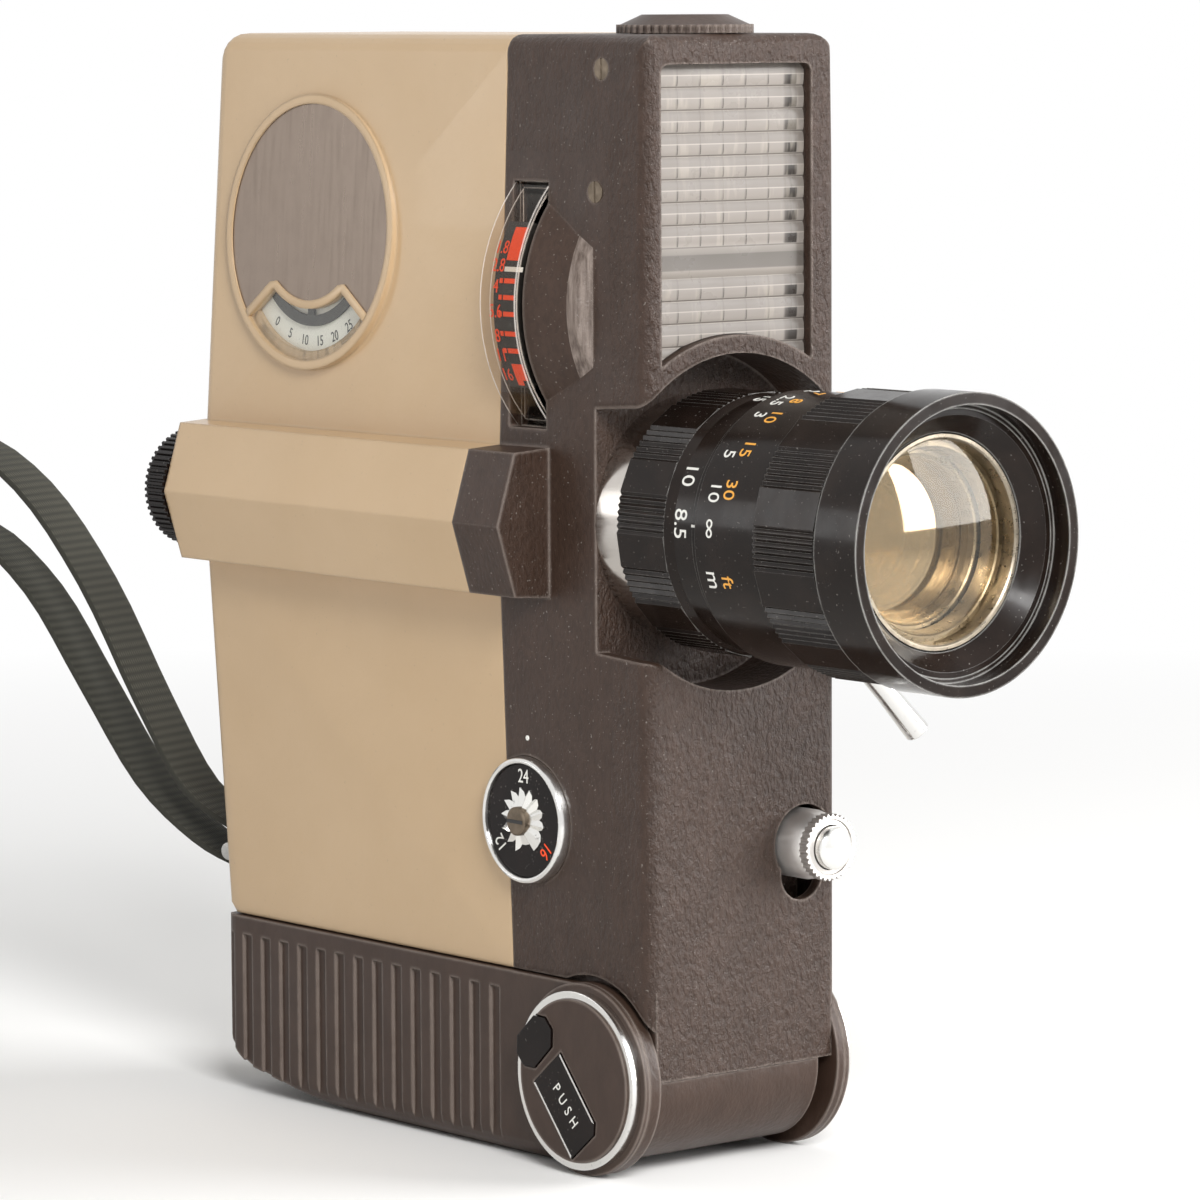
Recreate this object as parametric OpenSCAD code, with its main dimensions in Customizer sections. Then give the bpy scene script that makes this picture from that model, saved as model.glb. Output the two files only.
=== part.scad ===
// Vintage spring-driven cine camera with a folding handle and a zoom lens.
// Lens points to -Y, film side is +X, +Z is up, the folded handle stands on z = 0
// and the lens axis crosses x = 0. Sizes in millimetres.

/* [Body] */
// Depth from the front face to the rear wall
body_depth = 111.4; // [108:0.2:116]
// Depth of the dark front casting
front_depth = 33.6; // [32.6:0.2:36]
// Distance from the origin forward to the front face
front_run = 55; // [50:0.5:60]
// Height of the body's top above the table
body_height = 179.3; // [178:0.1:186]
// Lens axis to the mechanism side
left_run = 18.75; // [18.4:0.05:21]
// Lens axis to the film side
right_run = 21; // [20.6:0.1:23]
// Narrowing of the film side at the very top
top_taper = 1.6; // [0.8:0.1:2]
// Swelling of the mechanism side beside the finder, at the seam
seam_bulge = 2.1; // [1.6:0.1:2.6]
// Swelling of the mechanism side beside the finder, at the rear
rear_bulge = 4; // [3.4:0.1:4.4]
// Wall of the front casting
cast_wall = 2; // [1.6:0.1:2.4]
// Wall of the pressed covers
cover_wall = 1.6; // [1.2:0.1:2]
// Radius of the body's long edges
edge_r = 2.4; // [1.5:0.1:3]
// Radius of the top rear corner
rear_corner_r = 5.5; // [4:0.5:8]
// Radius of the covers' lower rear edge
foot_r = 1.5; // [1:0.1:2]
// Height of the covers' lower edge
cover_foot = 30.5; // [29.8:0.1:31.5]
// Height of the front casting's lower edge
front_foot = 16.2; // [15:0.1:17]
// Mechanism cover's joint with the film door, from the lens axis
door_joint = 1; // [0:0.1:2]

/* [Front] */
// Height of the lens axis
lens_height = 103.25; // [102:0.05:104.5]
// Depth of the lens recess behind the front face
recess_depth = 11.6; // [10.5:0.1:12.5]
// Half the height of the recess
recess_half = 18.4; // [17.5:0.1:19.5]
// Radius of the round scoop about the lens
scoop_r = 26.5; // [25.5:0.1:27]
// Frame left around the meter window
window_frame = 3.1; // [2.6:0.1:3.6]
// Height of the meter window's top edge below the body's top
window_drop = 4.6; // [4:0.1:6]
// Depth of the meter window behind the face
window_sink = 1.5; // [1:0.1:2]
// Thickness of the meter window
window_t = 2.4; // [2:0.1:3]
// Spacing of the meter window's ribs
rib_pitch = 3.5; // [3:0.1:4.5]
// Release hole centre to the lens axis, sideways
release_x = 13.8; // [12.5:0.1:14]
// Release hole height
release_z = 51.1; // [48:0.1:54]
// Radius of the release hole
release_hole_r = 6.3; // [6.1:0.05:6.4]
// Radius of the release sleeve
sleeve_r = 5.6; // [5.2:0.05:5.8]
// Radius of the release button
button_r = 3.5; // [3:0.05:3.7]

/* [Finder] */
// Finder tunnel's reach past the side at its edges
tunnel_reach = 8.4; // [8:0.1:9]
// Further reach at the middle crease
tunnel_crest = 3.5; // [2.5:0.1:4]
// Half the height of the tunnel
tunnel_half = 11.4; // [11.2:0.1:12]
// Length of the tunnel's dark nose
nose_len = 11.4; // [10.5:0.1:12]
// Radius of the finder tube
finder_r = 7.2; // [6.6:0.1:7.6]
// Radius of the eyepiece ring
eyepiece_r = 10; // [9.4:0.1:10.6]
// Length of the eyepiece ring
eyepiece_len = 5; // [4:0.1:6]

/* [Exposure scale] */
// Outer radius of the clear arc
arc_r = 28.2; // [27.8:0.1:29]
// Reach of the clear arc past the side
arc_reach = 7.7; // [7.2:0.1:8]
// Width of the clear arc
arc_w = 8.6; // [8:0.1:9]
// Height of the exposure scale's middle above the lens axis
arc_rise = 33.75; // [32.8:0.05:35.8]
// Wall of the clear arc
arc_wall = 1.2; // [1:0.1:1.4]

/* [Lens] */
// Radius of the lens mount ring
mount_r = 19.5; // [19:0.1:20]
// Length of the lens mount ring
mount_len = 6.4; // [6:0.1:7]
// Radius of the zoom ring
zoom_r = 20.8; // [20.4:0.1:21.2]
// Length of the zoom ring
zoom_len = 17.2; // [16.6:0.1:18]
// Radius of the index ring
index_r = 20.4; // [20:0.1:20.8]
// Length of the index ring
index_len = 1.6; // [1.2:0.1:2]
// Radius of the focus ring
focus_r = 21.4; // [21:0.1:21.8]
// Radius over the focus ring's grips
grip_r = 22.4; // [22:0.1:22.8]
// Length of the focus ring
focus_len = 28.8; // [28:0.1:30]
// Radius of the front rim
rim_r = 23; // [22.8:0.1:23.6]
// Length of the front rim
rim_len = 9.2; // [8.8:0.1:10]
// Radius of the filter thread's inner wall
thread_r = 21.1; // [20.8:0.05:21.3]
// Length of the filter thread
thread_len = 3.4; // [3:0.1:3.8]
// Radius of the inner lens barrel
barrel_tube_r = 13.9; // [13.5:0.1:14.2]
// Distance from the lens axis to the zoom lever's tip
lever_reach = 50.5; // [48:0.5:52]
// Radius of the zoom lever
lever_r = 1.8; // [1.5:0.1:1.9]

/* [Handle] */
// Radius of the hinge ears
ear_r = 15.3; // [15:0.1:15.6]
// Distance from the front face back to the hinge
hinge_back = 14; // [13.8:0.1:14.5]
// Radius of the hinge barrel
barrel_r = 13.6; // [13.2:0.1:13.8]
// Radius of the hinge axle
axle_r = 3; // [2.5:0.1:3.5]
// Reach of the handle past the body's side
handle_proud = 1; // [0.8:0.1:1.4]
// Depth of the body's cut for the ears
ear_cut = 1.5; // [1.3:0.1:1.7]
// Wall of the handle's floor and back
handle_wall = 2; // [1.8:0.1:2.4]
// Height of the end caps over the ears
cap_t = 3; // [2.6:0.1:3.2]
// Radius of the cap's chrome ring
ring_r = 14.2; // [13.9:0.1:14.4]
// Width of the cap's chrome ring
ring_w = 1.2; // [1:0.1:1.4]
// Radius of the handle's rear lower corner
heel_r = 11; // [8:0.5:11.5]
// Radius of the handle's long lower edges
keel_r = 4.5; // [3.5:0.5:5]
// Number of grip flutes on each side
flutes = 15; // [10:1:16]
// Travel of the buttons in the cap
cap_travel = 1; // [0.6:0.1:1]

/* [Dials] */
// Radius of the speed dial's bezel
speed_r = 10.25; // [9.8:0.05:10.6]
// Height of the speed dial
speed_z = 55; // [53:0.5:58]
// Radius of the nameplate's rim
plate_r = 22.6; // [22:0.1:23]
// Width of the nameplate's rim
plate_rim = 1.5; // [1.2:0.1:1.8]
// Distance from the seam back to the nameplate's centre
plate_back = 49.2; // [48:0.1:50]
// Radius of the film speed wheel
asa_r = 10.8; // [10:0.1:11.2]
// Height of the film speed wheel
asa_h = 3; // [2:0.1:3.4]

/* [Film path] */
// Radius of a film spool
spool_r = 25.4; // [25:0.1:25.6]
// Width of a film spool
spool_w = 17.6; // [17:0.1:17.8]
// Radius of a spool's hub
hub_r = 11; // [10:0.5:12]
// Radius of a spool spindle
spindle_r = 2.5; // [2:0.1:3]
// Thickness of the main plate
main_t = 1.6; // [1.4:0.1:2]
// Main plate's film face, from the lens axis
main_x = 3.6; // [3.4:0.1:3.8]

/* [Drive] */
// Teeth on the spring barrel
barrel_teeth = 44; // [40:2:44]
// Teeth on the drive pinion
pinion_teeth = 11; // [11:2:13]
// Gear module
gear_m = 1; // [0.9:0.05:1]
// Radius of the shutter disc
shutter_r = 15.5; // [15:0.1:15.8]

/* [Fits] */
// Radial clearance of a running fit
run_gap = 0.06; // [0.03:0.01:0.1]
// Gap between rings that turn beside each other
ring_gap = 0.2; // [0.15:0.05:0.3]
// Gap around pieces that move past a wall
move_gap = 0.3; // [0.25:0.05:0.4]

/* [Hidden] */
$fn = 96;

// Main planes
front_y = -front_run;
seam_y = front_y + front_depth;
rear_y = front_y + body_depth;
mid_y = front_y + recess_depth;
neck_left = -left_run + ear_cut;
neck_right = right_run - ear_cut;
inner_left = -left_run + cover_wall;
inner_rear = rear_y - cover_wall;
inner_foot = cover_foot + cover_wall;
inner_top = body_height - cover_wall;
taper_z = lens_height + scoop_r;
skin = 0.05;

// Handle hinge
hinge_y = front_y + hinge_back;
hinge_z = ear_r;
relief_r = ear_r + 1.1;
ear_gap = 0.2;
ear_left = neck_left - ear_gap;
ear_right = neck_right + ear_gap;
side_left = -left_run - handle_proud;
side_right = right_run + handle_proud * 0.3;
handle_top = cover_foot - move_gap;
base_t = 3.4;
base_low = cover_foot - base_t;
barrel_short = 0.75;
flute_pitch = 5.14;
flute_w = 2.4;
flute_deep = 0.5;
flute_rear = 2.2;

// Finder
finder_x = -left_run - 2.1;
finder_z = lens_height - 0.4;
tunnel_low = finder_z - tunnel_half;
tunnel_high = finder_z + tunnel_half;
nose_y = seam_y - nose_len;

// Mechanism side's swelling: widest beside the finder, none at the foot and the top
swell_foot = cover_foot + foot_r;
swell_top = body_height - rear_corner_r;
function swell_along(y) = y < seam_y
    ? seam_bulge * (y - front_y) / front_depth
    : seam_bulge + (rear_bulge - seam_bulge) * (y - seam_y) / (rear_y - seam_y);
function swell(y, z) =
    let (y0 = y < seam_y ? front_y : seam_y, y1 = y < seam_y ? seam_y : rear_y,
        b0 = swell_along(y0), b1 = swell_along(y1), u = (y - y0) / (y1 - y0),
        v = min(1, (z - swell_foot) / (tunnel_low - swell_foot),
            (swell_top - z) / (swell_top - tunnel_high)))
    max(0, min(b1 * v, b0 * v + (b1 - b0) * u));

// Exposure scale
arc_x = -left_run - arc_reach + arc_r;
arc_z = lens_height + arc_rise;
arc_rear_y = seam_y - 2.2;
arc_front_y = arc_rear_y - arc_w;
drum_r = arc_r - arc_wall - 0.5;
cell_t = 1.2;
cell_rear_y = front_y + window_sink + window_t + cell_t;

// Lens stack, from the recess forward
mount_front = mid_y - mount_len;
zoom_rear = mount_front - ring_gap;
zoom_front = zoom_rear - zoom_len;
index_rear = zoom_front - ring_gap;
index_front = index_rear - index_len;
focus_rear = index_front - ring_gap;
lever_y = zoom_rear - 7.5;
focus_front = focus_rear - focus_len;
rim_front = focus_front - rim_len;
barrel_rear = mid_y + 12;
barrel_front = index_front - 20;
tube_wall = 1.6;
bore_r = barrel_tube_r + run_gap;
helicoid_r = barrel_tube_r + 2.2;
glass_r = 16.6;
grip_groups = 11;
grip_share = 0.55;
grip_deep = 0.4;
zoom_cell_r = barrel_tube_r - tube_wall - run_gap;
zoom_cell_wall = 2.75;
zoom_cell_rear = mid_y - 12;
zoom_cell_len = 10;
zoom_glass_t = 4;

// Release
release_floor = front_y + 6;

// Speed dial
speed_y = seam_y - 5.25;
speed_h = 2.3;
speed_sink = 0.35;
speed_x = -left_run - speed_sink;

// Nameplate
plate_y = seam_y + plate_back;
plate_z = (tunnel_high + body_height) / 2;
plate_rim_h = 0.9;
plate_disc_r = plate_r - plate_rim;
plate_ledge = 1.6;
plate_t = 0.6;
plate_tilt = atan(rear_bulge / (swell_top - tunnel_high));
dial_t = 0.5;

// Film path
wall_y = seam_y + 0.1;
wall_t = 1.5;
spool_y = inner_rear - 4.4 - spool_r;
supply_z = inner_top - 1.3 - spool_r;
takeup_z = inner_foot + 1 + spool_r;
spool_left = -main_x + 0.8;
spindle_end = spool_left + spool_w + 1;
gate_half = 18;
gate_y = wall_y + wall_t;
aperture_w = 4.9;
aperture_h = 3.7;

// Drive
pitch_big = gear_m * barrel_teeth / 2;
pitch_small = gear_m * pinion_teeth / 2;
drive_x0 = inner_left + 1.2;
drive_x1 = -main_x - main_t - 0.6;
barrel_y = 22;
barrel_z = inner_foot + 1.4 + pitch_big + gear_m;
pinion_y = barrel_y - pitch_big - pitch_small;
shutter_x = 0.5;
shutter_z = lens_height - 12.8;
shutter_y = wall_y - 1.4;
asa_y = front_y + 12.5;

// Strap loop in its own upright plane, distance back from the lug and height
lug_x = -8.5;
lug_z = 40;
lug_reach = 5;
lug_span = 6.9;
lug_r = 1.5;
stud_r = 1.2;
strap_w = 10;
strap_t = 1.3;
strap_turn = 17;
strap_upper = [[-2.6, 40.5], [-1.7, 42.3], [0.8, 43.2], [12, 49.5], [22, 64], [34, 84], [48, 100],
    [64, 108], [80, 104], [92, 84], [99, 56], [105, 26], [113, 9], [123, 4.4],
    [132, 6.2], [137, 3.9]];
strap_lower = [[133, 1.6], [123, 1.2], [108, 4.4], [100, 20], [93, 48], [84, 76],
    [72, 91], [60, 92], [46, 82], [34, 66], [22, 50], [10, 41], [0.3, 37.3], [-1.8, 38.1],
    [-2.5, 39.5]];

// ---- Helpers -----------------------------------------------------------

// Corner of an outline rounded to radius r, as points along the arc
function unit(v) = v / norm(v);
function corner_arc(a, p, b, r, n) =
    let (u = unit(a - p), w = unit(b - p), half = acos(u * w) / 2,
        c = p + unit(u + w) * r / sin(half), s = p + u * r / tan(half) - c,
        e = p + w * r / tan(half) - c, a0 = atan2(s[1], s[0]),
        turn = atan2(s[0] * e[1] - s[1] * e[0], s * e))
    [for (i = [0:n]) c + r * [cos(a0 + turn * i / n), sin(a0 + turn * i / n)]];
function rounded(pts, radii, n = 5) =
    [for (i = [0:len(pts) - 1])
        let (a = pts[(i + len(pts) - 1) % len(pts)], b = pts[(i + 1) % len(pts)])
        each (radii[i] == 0 ? [pts[i]] : corner_arc(a, pts[i], b, radii[i], n))];

// Point on a smooth curve through a list of points
function curve_point(p, i, t) =
    let (n = len(p) - 1, a = p[max(i - 1, 0)], b = p[i], c = p[min(i + 1, n)],
        d = p[min(i + 2, n)])
    0.5 * (2 * b + (c - a) * t + (2 * a - 5 * b + 4 * c - d) * t * t
        + (3 * b - a - 3 * c + d) * t * t * t);
function smooth(p, steps) =
    [for (i = [0:len(p) - 2]) for (k = [0:steps - 1]) curve_point(p, i, k / steps),
        p[len(p) - 1]];

// Outline of a toothed wheel: root, flank, tip, flank for each tooth
function teeth_points(n, root, tip, share, shift = 0) =
    [for (i = [0:n - 1]) let (a = 360 * (i + shift) / n, w = 360 / n * share)
        each [[root * cos(a - w), root * sin(a - w)],
            [tip * cos(a - w * 0.5), tip * sin(a - w * 0.5)],
            [tip * cos(a + w * 0.5), tip * sin(a + w * 0.5)],
            [root * cos(a + w), root * sin(a + w)]]];
module toothed(n, root, tip, share = 0.3, shift = 0) {
    polygon(teeth_points(n, root, tip, share, shift));
}

module extrude_x(x0, x1) {
    translate([x0, 0, 0]) rotate([90, 0, 90]) linear_extrude(x1 - x0) children();
}
module extrude_y(y0, y1) {
    translate([0, y1, 0]) rotate([90, 0, 0]) linear_extrude(y1 - y0) children();
}
module extrude_z(z0, z1) {
    translate([0, 0, z0]) linear_extrude(z1 - z0) children();
}
module block(x0, x1, y0, y1, z0, z1) {
    translate([x0, y0, z0]) cube([x1 - x0, y1 - y0, z1 - z0]);
}
module rod_x(x0, x1, r, y, z) {
    translate([x0, y, z]) rotate([0, 90, 0]) cylinder(h = x1 - x0, r = r);
}
module rod_y(y0, y1, r, x, z) {
    translate([x, y0, z]) rotate([-90, 0, 0]) cylinder(h = y1 - y0, r = r);
}
module cone_y(y0, y1, r0, r1, x, z) {
    translate([x, y0, z]) rotate([-90, 0, 0]) cylinder(h = y1 - y0, r1 = r0, r2 = r1);
}
module rod_z(z0, z1, r, x, y) {
    translate([x, y, z0]) cylinder(h = z1 - z0, r = r);
}
module ring_x(x0, x1, ro, ri, y, z) {
    difference() {
        rod_x(x0, x1, ro, y, z);
        rod_x(x0 - 1, x1 + 1, ri, y, z);
    }
}
module ring_y(y0, y1, ro, ri, x, z) {
    difference() {
        rod_y(y0, y1, ro, x, z);
        rod_y(y0 - 1, y1 + 1, ri, x, z);
    }
}
module lens_ring(y0, y1, ro, ri) {
    ring_y(y0, y1, ro, ri, 0, lens_height);
}

// ---- Body outlines -----------------------------------------------------

// Front view of the body, shrunk by inset, from height foot
module front_view(foot, inset = 0) {
    top = body_height - inset;
    r = max(edge_r + 0.6 - inset, 0.4);
    polygon(rounded([[-left_run + inset, foot], [right_run - inset, foot],
        [right_run - inset, taper_z], [right_run - top_taper - inset, top],
        [-left_run + inset, top]], [0, 0, 0, r, r]));
}

// Front view of the finder tunnel outside the side wall
module tunnel_view(inset = 0) {
    x = -left_run - tunnel_reach + inset;
    polygon([[-left_run + 3, tunnel_low - 0.7 + inset], [x, tunnel_low + inset],
        [x - tunnel_crest, finder_z], [x, tunnel_high - inset],
        [-left_run + 3, tunnel_high + 0.7 - inset]]);
}

// Plan of the front casting with rounded front edges
module casting_plan() {
    polygon(rounded([[-left_run, front_y], [right_run, front_y], [right_run, seam_y],
        [-left_run, seam_y]], [edge_r, edge_r, 0, 0]));
}

// Side view of the front casting with the lens recess
module casting_side() {
    low = lens_height - recess_half - 1.8;
    high = lens_height + recess_half - 1.8;
    polygon(rounded([[front_y, front_foot], [seam_y, front_foot], [seam_y, body_height],
        [front_y, body_height], [front_y, high + 1.1], [mid_y, high], [mid_y, low],
        [front_y, low - 0.9]], [0, 0, 0, edge_r, 1, 0, 0, 1]));
}

// Everything the ears of the handle need beside the body
module ear_relief() {
    for (x = [[-left_run - 9, neck_left], [neck_right, right_run + 9]])
        union() {
            rod_x(x[0], x[1], relief_r, hinge_y, hinge_z);
            block(x[0], x[1], hinge_y, seam_y + 1, 0, cover_foot);
            block(x[0], x[1], front_y - 1, hinge_y, 0, hinge_z);
        }
}

module casting_cavity() {
    difference() {
        intersection() {
            extrude_y(front_y + cast_wall, seam_y + 1) front_view(0, cast_wall);
            block(-60, 60, front_y, seam_y + 2, cover_foot + cast_wall, body_height);
        }
        block(-60, 60, front_y - 1, mid_y + cast_wall,
            lens_height - recess_half - 1.8 - cast_wall,
            lens_height + recess_half - 1.8 + cast_wall + 1);
        rod_y(front_y - 1, mid_y + cast_wall, scoop_r + cast_wall, 0, lens_height);
        rod_x(-60, 60, relief_r + cast_wall, hinge_y, hinge_z);
    }
    block(neck_left + cast_wall, neck_right - cast_wall, front_y + cast_wall, seam_y + 1,
        0, lens_height - scoop_r - 4);
}

// Opening of the meter window, grown by gap
module window_view(gap = 0) {
    top = body_height - window_drop + gap;
    left = -left_run + window_frame - gap;
    right = right_run - top_taper - window_frame - 0.9 + gap;
    difference() {
        polygon(rounded([[left, lens_height + 18], [right, lens_height + 18],
            [right, top], [left, top]], [0, 0, 1.5, 1.5]));
        translate([0, lens_height]) circle(r = scoop_r + window_frame - 0.25 - gap);
    }
}

// ---- Body shells -------------------------------------------------------

// Swelling of the mechanism side between two planes of y, moved in by inset, with
// its upright edges rounded by r0 and r1
module side_swelling(y0, y1, r0, r1, inset = 0) {
    x = -left_run + inset;
    hull() for (s = [[swell_foot, 0], [tunnel_low, 1], [tunnel_high, 1], [swell_top, 0]])
        extrude_z(s[0], s[0] + skin)
            polygon(rounded([[x + edge_r + 1, y0], [x - s[1] * swell_along(y0), y0],
                [x - s[1] * swell_along(y1), y1], [x + edge_r + 1, y1]], [0, r0, r1, 0], 6));
}

// Bulge over the exposure drum, with a flat slope at its front end
module exposure_bump() {
    y0 = front_y + 11.6;
    x = -left_run + 0.5;
    intersection() {
        cone_y(y0 - 1, arc_front_y, drum_r - 3.8, drum_r + 0.1, arc_x, arc_z);
        extrude_z(100, 200)
            polygon([[x, y0 - 0.3], [x - 12, y0 + 7], [x - 12, seam_y], [x, seam_y]]);
    }
}

module front_casting() color([0.25, 0.23, 0.21]) {
    difference() {
        union() {
            intersection() {
                extrude_x(-60, 60) casting_side();
                union() {
                    intersection() {
                        extrude_z(0, 220) casting_plan();
                        extrude_y(front_y - 1, seam_y) front_view(0);
                    }
                    side_swelling(front_y, seam_y, edge_r, 0);
                    exposure_bump();
                }
            }
            extrude_y(nose_y, seam_y) tunnel_view();
        }
        rod_y(front_y - 1, mid_y, scoop_r, 0, lens_height);
        casting_cavity();
        ear_relief();
        rod_x(-60, 60, barrel_r + skin, hinge_y, hinge_z);
        // finder passage from the beam prism to the mirror
        block(-left_run - 1, 0, nose_y + 1.6, seam_y + 1, tunnel_low + 2.2, tunnel_high - 2.2);
        extrude_y(nose_y + 1.6, seam_y + 1) tunnel_view(1.6);
        // meter window, lens barrel, release and dials
        extrude_y(front_y - 1, front_y + cast_wall + 1) window_view();
        rod_y(mid_y - 1, mid_y + 5, barrel_tube_r, 0, lens_height);
        rod_y(front_y - 1, front_y + cast_wall + 1, release_hole_r, release_x, release_z);
        rod_y(front_y - 1, front_y + cast_wall + 1, 4.4, release_x - 0.6, release_z - 4.6);
        rod_x(-60, -left_run + 5, 2.6, speed_y, speed_z);
        rod_x(-60, -left_run - speed_sink, speed_r + 0.1, speed_y, speed_z);
        block(-60, -left_run + 5, arc_front_y, arc_rear_y, arc_z - 19.4, arc_z + 19.4);
        for (s = [-1, 1]) for (p = screw_places()) screw_hole(s, p);
        rod_z(body_height - 5, body_height + 5, 2.1, 0, asa_y);
        knuckle_relief();
    }
    casting_knuckles();
    // lower lip that laps the hinge barrel
    block(neck_left, neck_right, front_y, front_y + cast_wall - 0.2, front_foot, cover_foot);
    // shelf that carries the release
    difference() {
        block(release_x - release_hole_r - 2, neck_right - cast_wall + 0.1,
            release_floor, release_floor + cast_wall,
            release_z - release_hole_r - 6, release_z + release_hole_r + 2);
        rod_y(release_floor - 1, release_floor + 5, 4.2, release_x, release_z);
    }
    // posts from the front wall that hold the release shelf
    for (z = [release_z - release_hole_r - 5, release_z + release_hole_r + 1])
        rod_y(front_y + cast_wall - 0.1, release_floor + 0.1, 1, release_x - 6, z);
}

// Heads of the four casting screws: distance back from the front face and height
function screw_places() = [[10.6, body_height - 5.3], [11.5, body_height - 24.3]];
function screw_x(side, p) = side < 0
    ? -left_run - swell(front_y + p[0], p[1])
    : right_run - top_taper * (p[1] - taper_z) / (body_height - taper_z);
module screw_hole(side, p) {
    x = screw_x(side, p);
    rod_x(x - 4, x + 4, 1.1, front_y + p[0], p[1]);
    rod_x(side < 0 ? x - 4 : x - 0.3, side < 0 ? x + 0.3 : x + 4, 1.7,
        front_y + p[0], p[1]);
}

module case_screws() color([0.5, 0.45, 0.38])
    for (s = [-1, 1]) for (p = screw_places()) {
        x = screw_x(s, p);
        difference() {
            union() {
                rod_x(s < 0 ? x : x - 3.4, s < 0 ? x + 3.4 : x, 1.1, front_y + p[0], p[1]);
                rod_x(s < 0 ? x : x - 0.3, s < 0 ? x + 0.3 : x, 1.7, front_y + p[0], p[1]);
            }
            block(x - 0.15, x + 0.15, front_y + p[0] - 0.25, front_y + p[0] + 0.25,
                p[1] - 3, p[1] + 3);
        }
    }

// Pressed half shell between two planes of x, open at the seam
module shell_solid() {
    intersection() {
        extrude_y(seam_y, rear_y) front_view(cover_foot);
        extrude_x(-60, 60) polygon(rounded([[seam_y, cover_foot], [rear_y, cover_foot],
            [rear_y, body_height], [seam_y, body_height]], [0, foot_r, rear_corner_r, 0]));
        extrude_z(0, 220) polygon(rounded([[-left_run, seam_y], [right_run, seam_y],
            [right_run, rear_y], [-left_run, rear_y]], [0, 0, edge_r, edge_r]));
    }
}
module shell_cavity() {
    intersection() {
        extrude_y(seam_y - 1, inner_rear) front_view(inner_foot, cover_wall);
        extrude_x(-60, 60) polygon(rounded([[seam_y - 1, inner_foot],
            [inner_rear, inner_foot], [inner_rear, inner_top], [seam_y - 1, inner_top]],
            [0, 0, rear_corner_r - cover_wall, 0]));
    }
}

// Places a piece on the swollen mechanism side: local -X points out of the wall
module on_side() {
    translate([-left_run - swell(plate_y, plate_z), plate_y, plate_z])
        rotate([0, plate_tilt, 0]) children();
}

// Window of the counter under the nameplate's two peaks, from the plate's centre
module fan_view(r) {
    difference() {
        intersection() {
            circle(r = r);
            polygon([[0.8 * r, -0.72 * r], [0.39 * r, -0.42 * r], [-0.42 * r, -0.41 * r],
                [-0.84 * r, -0.7 * r], [-r, -1.5 * r], [r, -1.5 * r]]);
        }
        translate([-0.02 * r, 0.11 * r]) circle(r = 0.67 * r);
    }
}

// Mechanism half of the body from plane y0 back to y1 and out from x1, moved in by
// inset. One convex solid, made of plans of the half at a row of heights: height,
// share of the swelling, narrowing of the side, shortening of the rear
side_top_r = edge_r + 0.6;
function top_step(i) =
    let (r = rear_corner_r, a = 15 * i, z = body_height - r + r * sin(a),
        d = z - (body_height - side_top_r))
    [z, 0, d > 0 ? side_top_r - sqrt(side_top_r * side_top_r - d * d) : 0, r - r * cos(a)];
cover_steps = concat([[cover_foot, 0, 0, foot_r], [swell_foot, 0, 0, 0],
    [tunnel_low, 1, 0, 0], [tunnel_high, 1, 0, 0]], [for (i = [0:6]) top_step(i)]);
module half_body(y0, y1, x1, inset = 0) {
    hull() for (s = cover_steps) {
        x = -left_run + inset + s[2];
        z = max(cover_foot + inset, min(body_height - inset, s[0]));
        translate([0, 0, z - (s[0] > lens_height ? skin : 0)]) linear_extrude(skin)
            polygon(rounded([[x1, y0], [x - s[1] * swell_along(y0), y0],
                [x - s[1] * swell_along(y1), y1 - s[3]], [x1, y1 - s[3]]],
                [0, 0, max(edge_r - s[2] - inset, 0.4), 0]));
    }
}

module mechanism_cover() color([0.74, 0.66, 0.53])
    difference() {
        union() {
            half_body(seam_y, rear_y, door_joint);
            extrude_y(seam_y, rear_y) tunnel_view();
            on_side() {
                rod_x(0, cover_wall - 0.3, plate_r, 0, 0);
                ring_x(-plate_rim_h, 0.2, plate_r, plate_disc_r, 0, 0);
            }
        }
        half_body(seam_y - 1, inner_rear, door_joint + 1, cover_wall);
        extrude_y(seam_y - 1, inner_rear) tunnel_view(cover_wall);
        on_side() {
            rod_x(-5, 0, plate_disc_r, 0, 0);
            rod_x(-5, cover_wall + 6, plate_disc_r - plate_ledge, 0, 0);
        }
        rod_y(inner_rear - 1, rear_y + 1, finder_r, finder_x, finder_z);
        rod_x(-left_run - 6, inner_left + 1, 2.6, speed_y, speed_z);
        rod_x(-left_run - 6, -left_run - speed_sink, speed_r + 0.1, speed_y, speed_z);
        for (s = [-1, 1])
            rod_y(inner_rear - 1, rear_y + 1, stud_r, lug_x + s * lug_step[0], lug_z);
    }

// Hinge of the film door, just outside the film side at the seam
door_axis_x = right_run + 0.9;
knuckle_r = 1.6;
pin_r = 0.8;
knuckle_len = 12;
side_knuckle_len = 6;
hinge_heights = [52, 96];
latch_y = rear_y - 11;
latch_z = lens_height;

module knuckle(z0, z1, bore) {
    difference() {
        rod_z(z0, z1, knuckle_r, door_axis_x, seam_y);
        rod_z(z0 - 1, z1 + 1, bore, door_axis_x, seam_y);
    }
}

// Knuckles on the casting, above and below each knuckle of the door
module casting_knuckles() {
    for (z = hinge_heights)
        for (z0 = [z - side_knuckle_len - ring_gap, z + knuckle_len + ring_gap]) {
            knuckle(z0, z0 + side_knuckle_len, pin_r);
            difference() {
                block(right_run - 1, door_axis_x, seam_y - 3.6, seam_y - 0.1, z0,
                    z0 + side_knuckle_len);
                rod_z(z0 - 1, z0 + side_knuckle_len + 1, pin_r, door_axis_x, seam_y);
            }
        }
}
module knuckle_relief() {
    for (z = hinge_heights)
        rod_z(z - ring_gap, z + knuckle_len + ring_gap, knuckle_r + 0.25, door_axis_x,
            seam_y);
}

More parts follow.
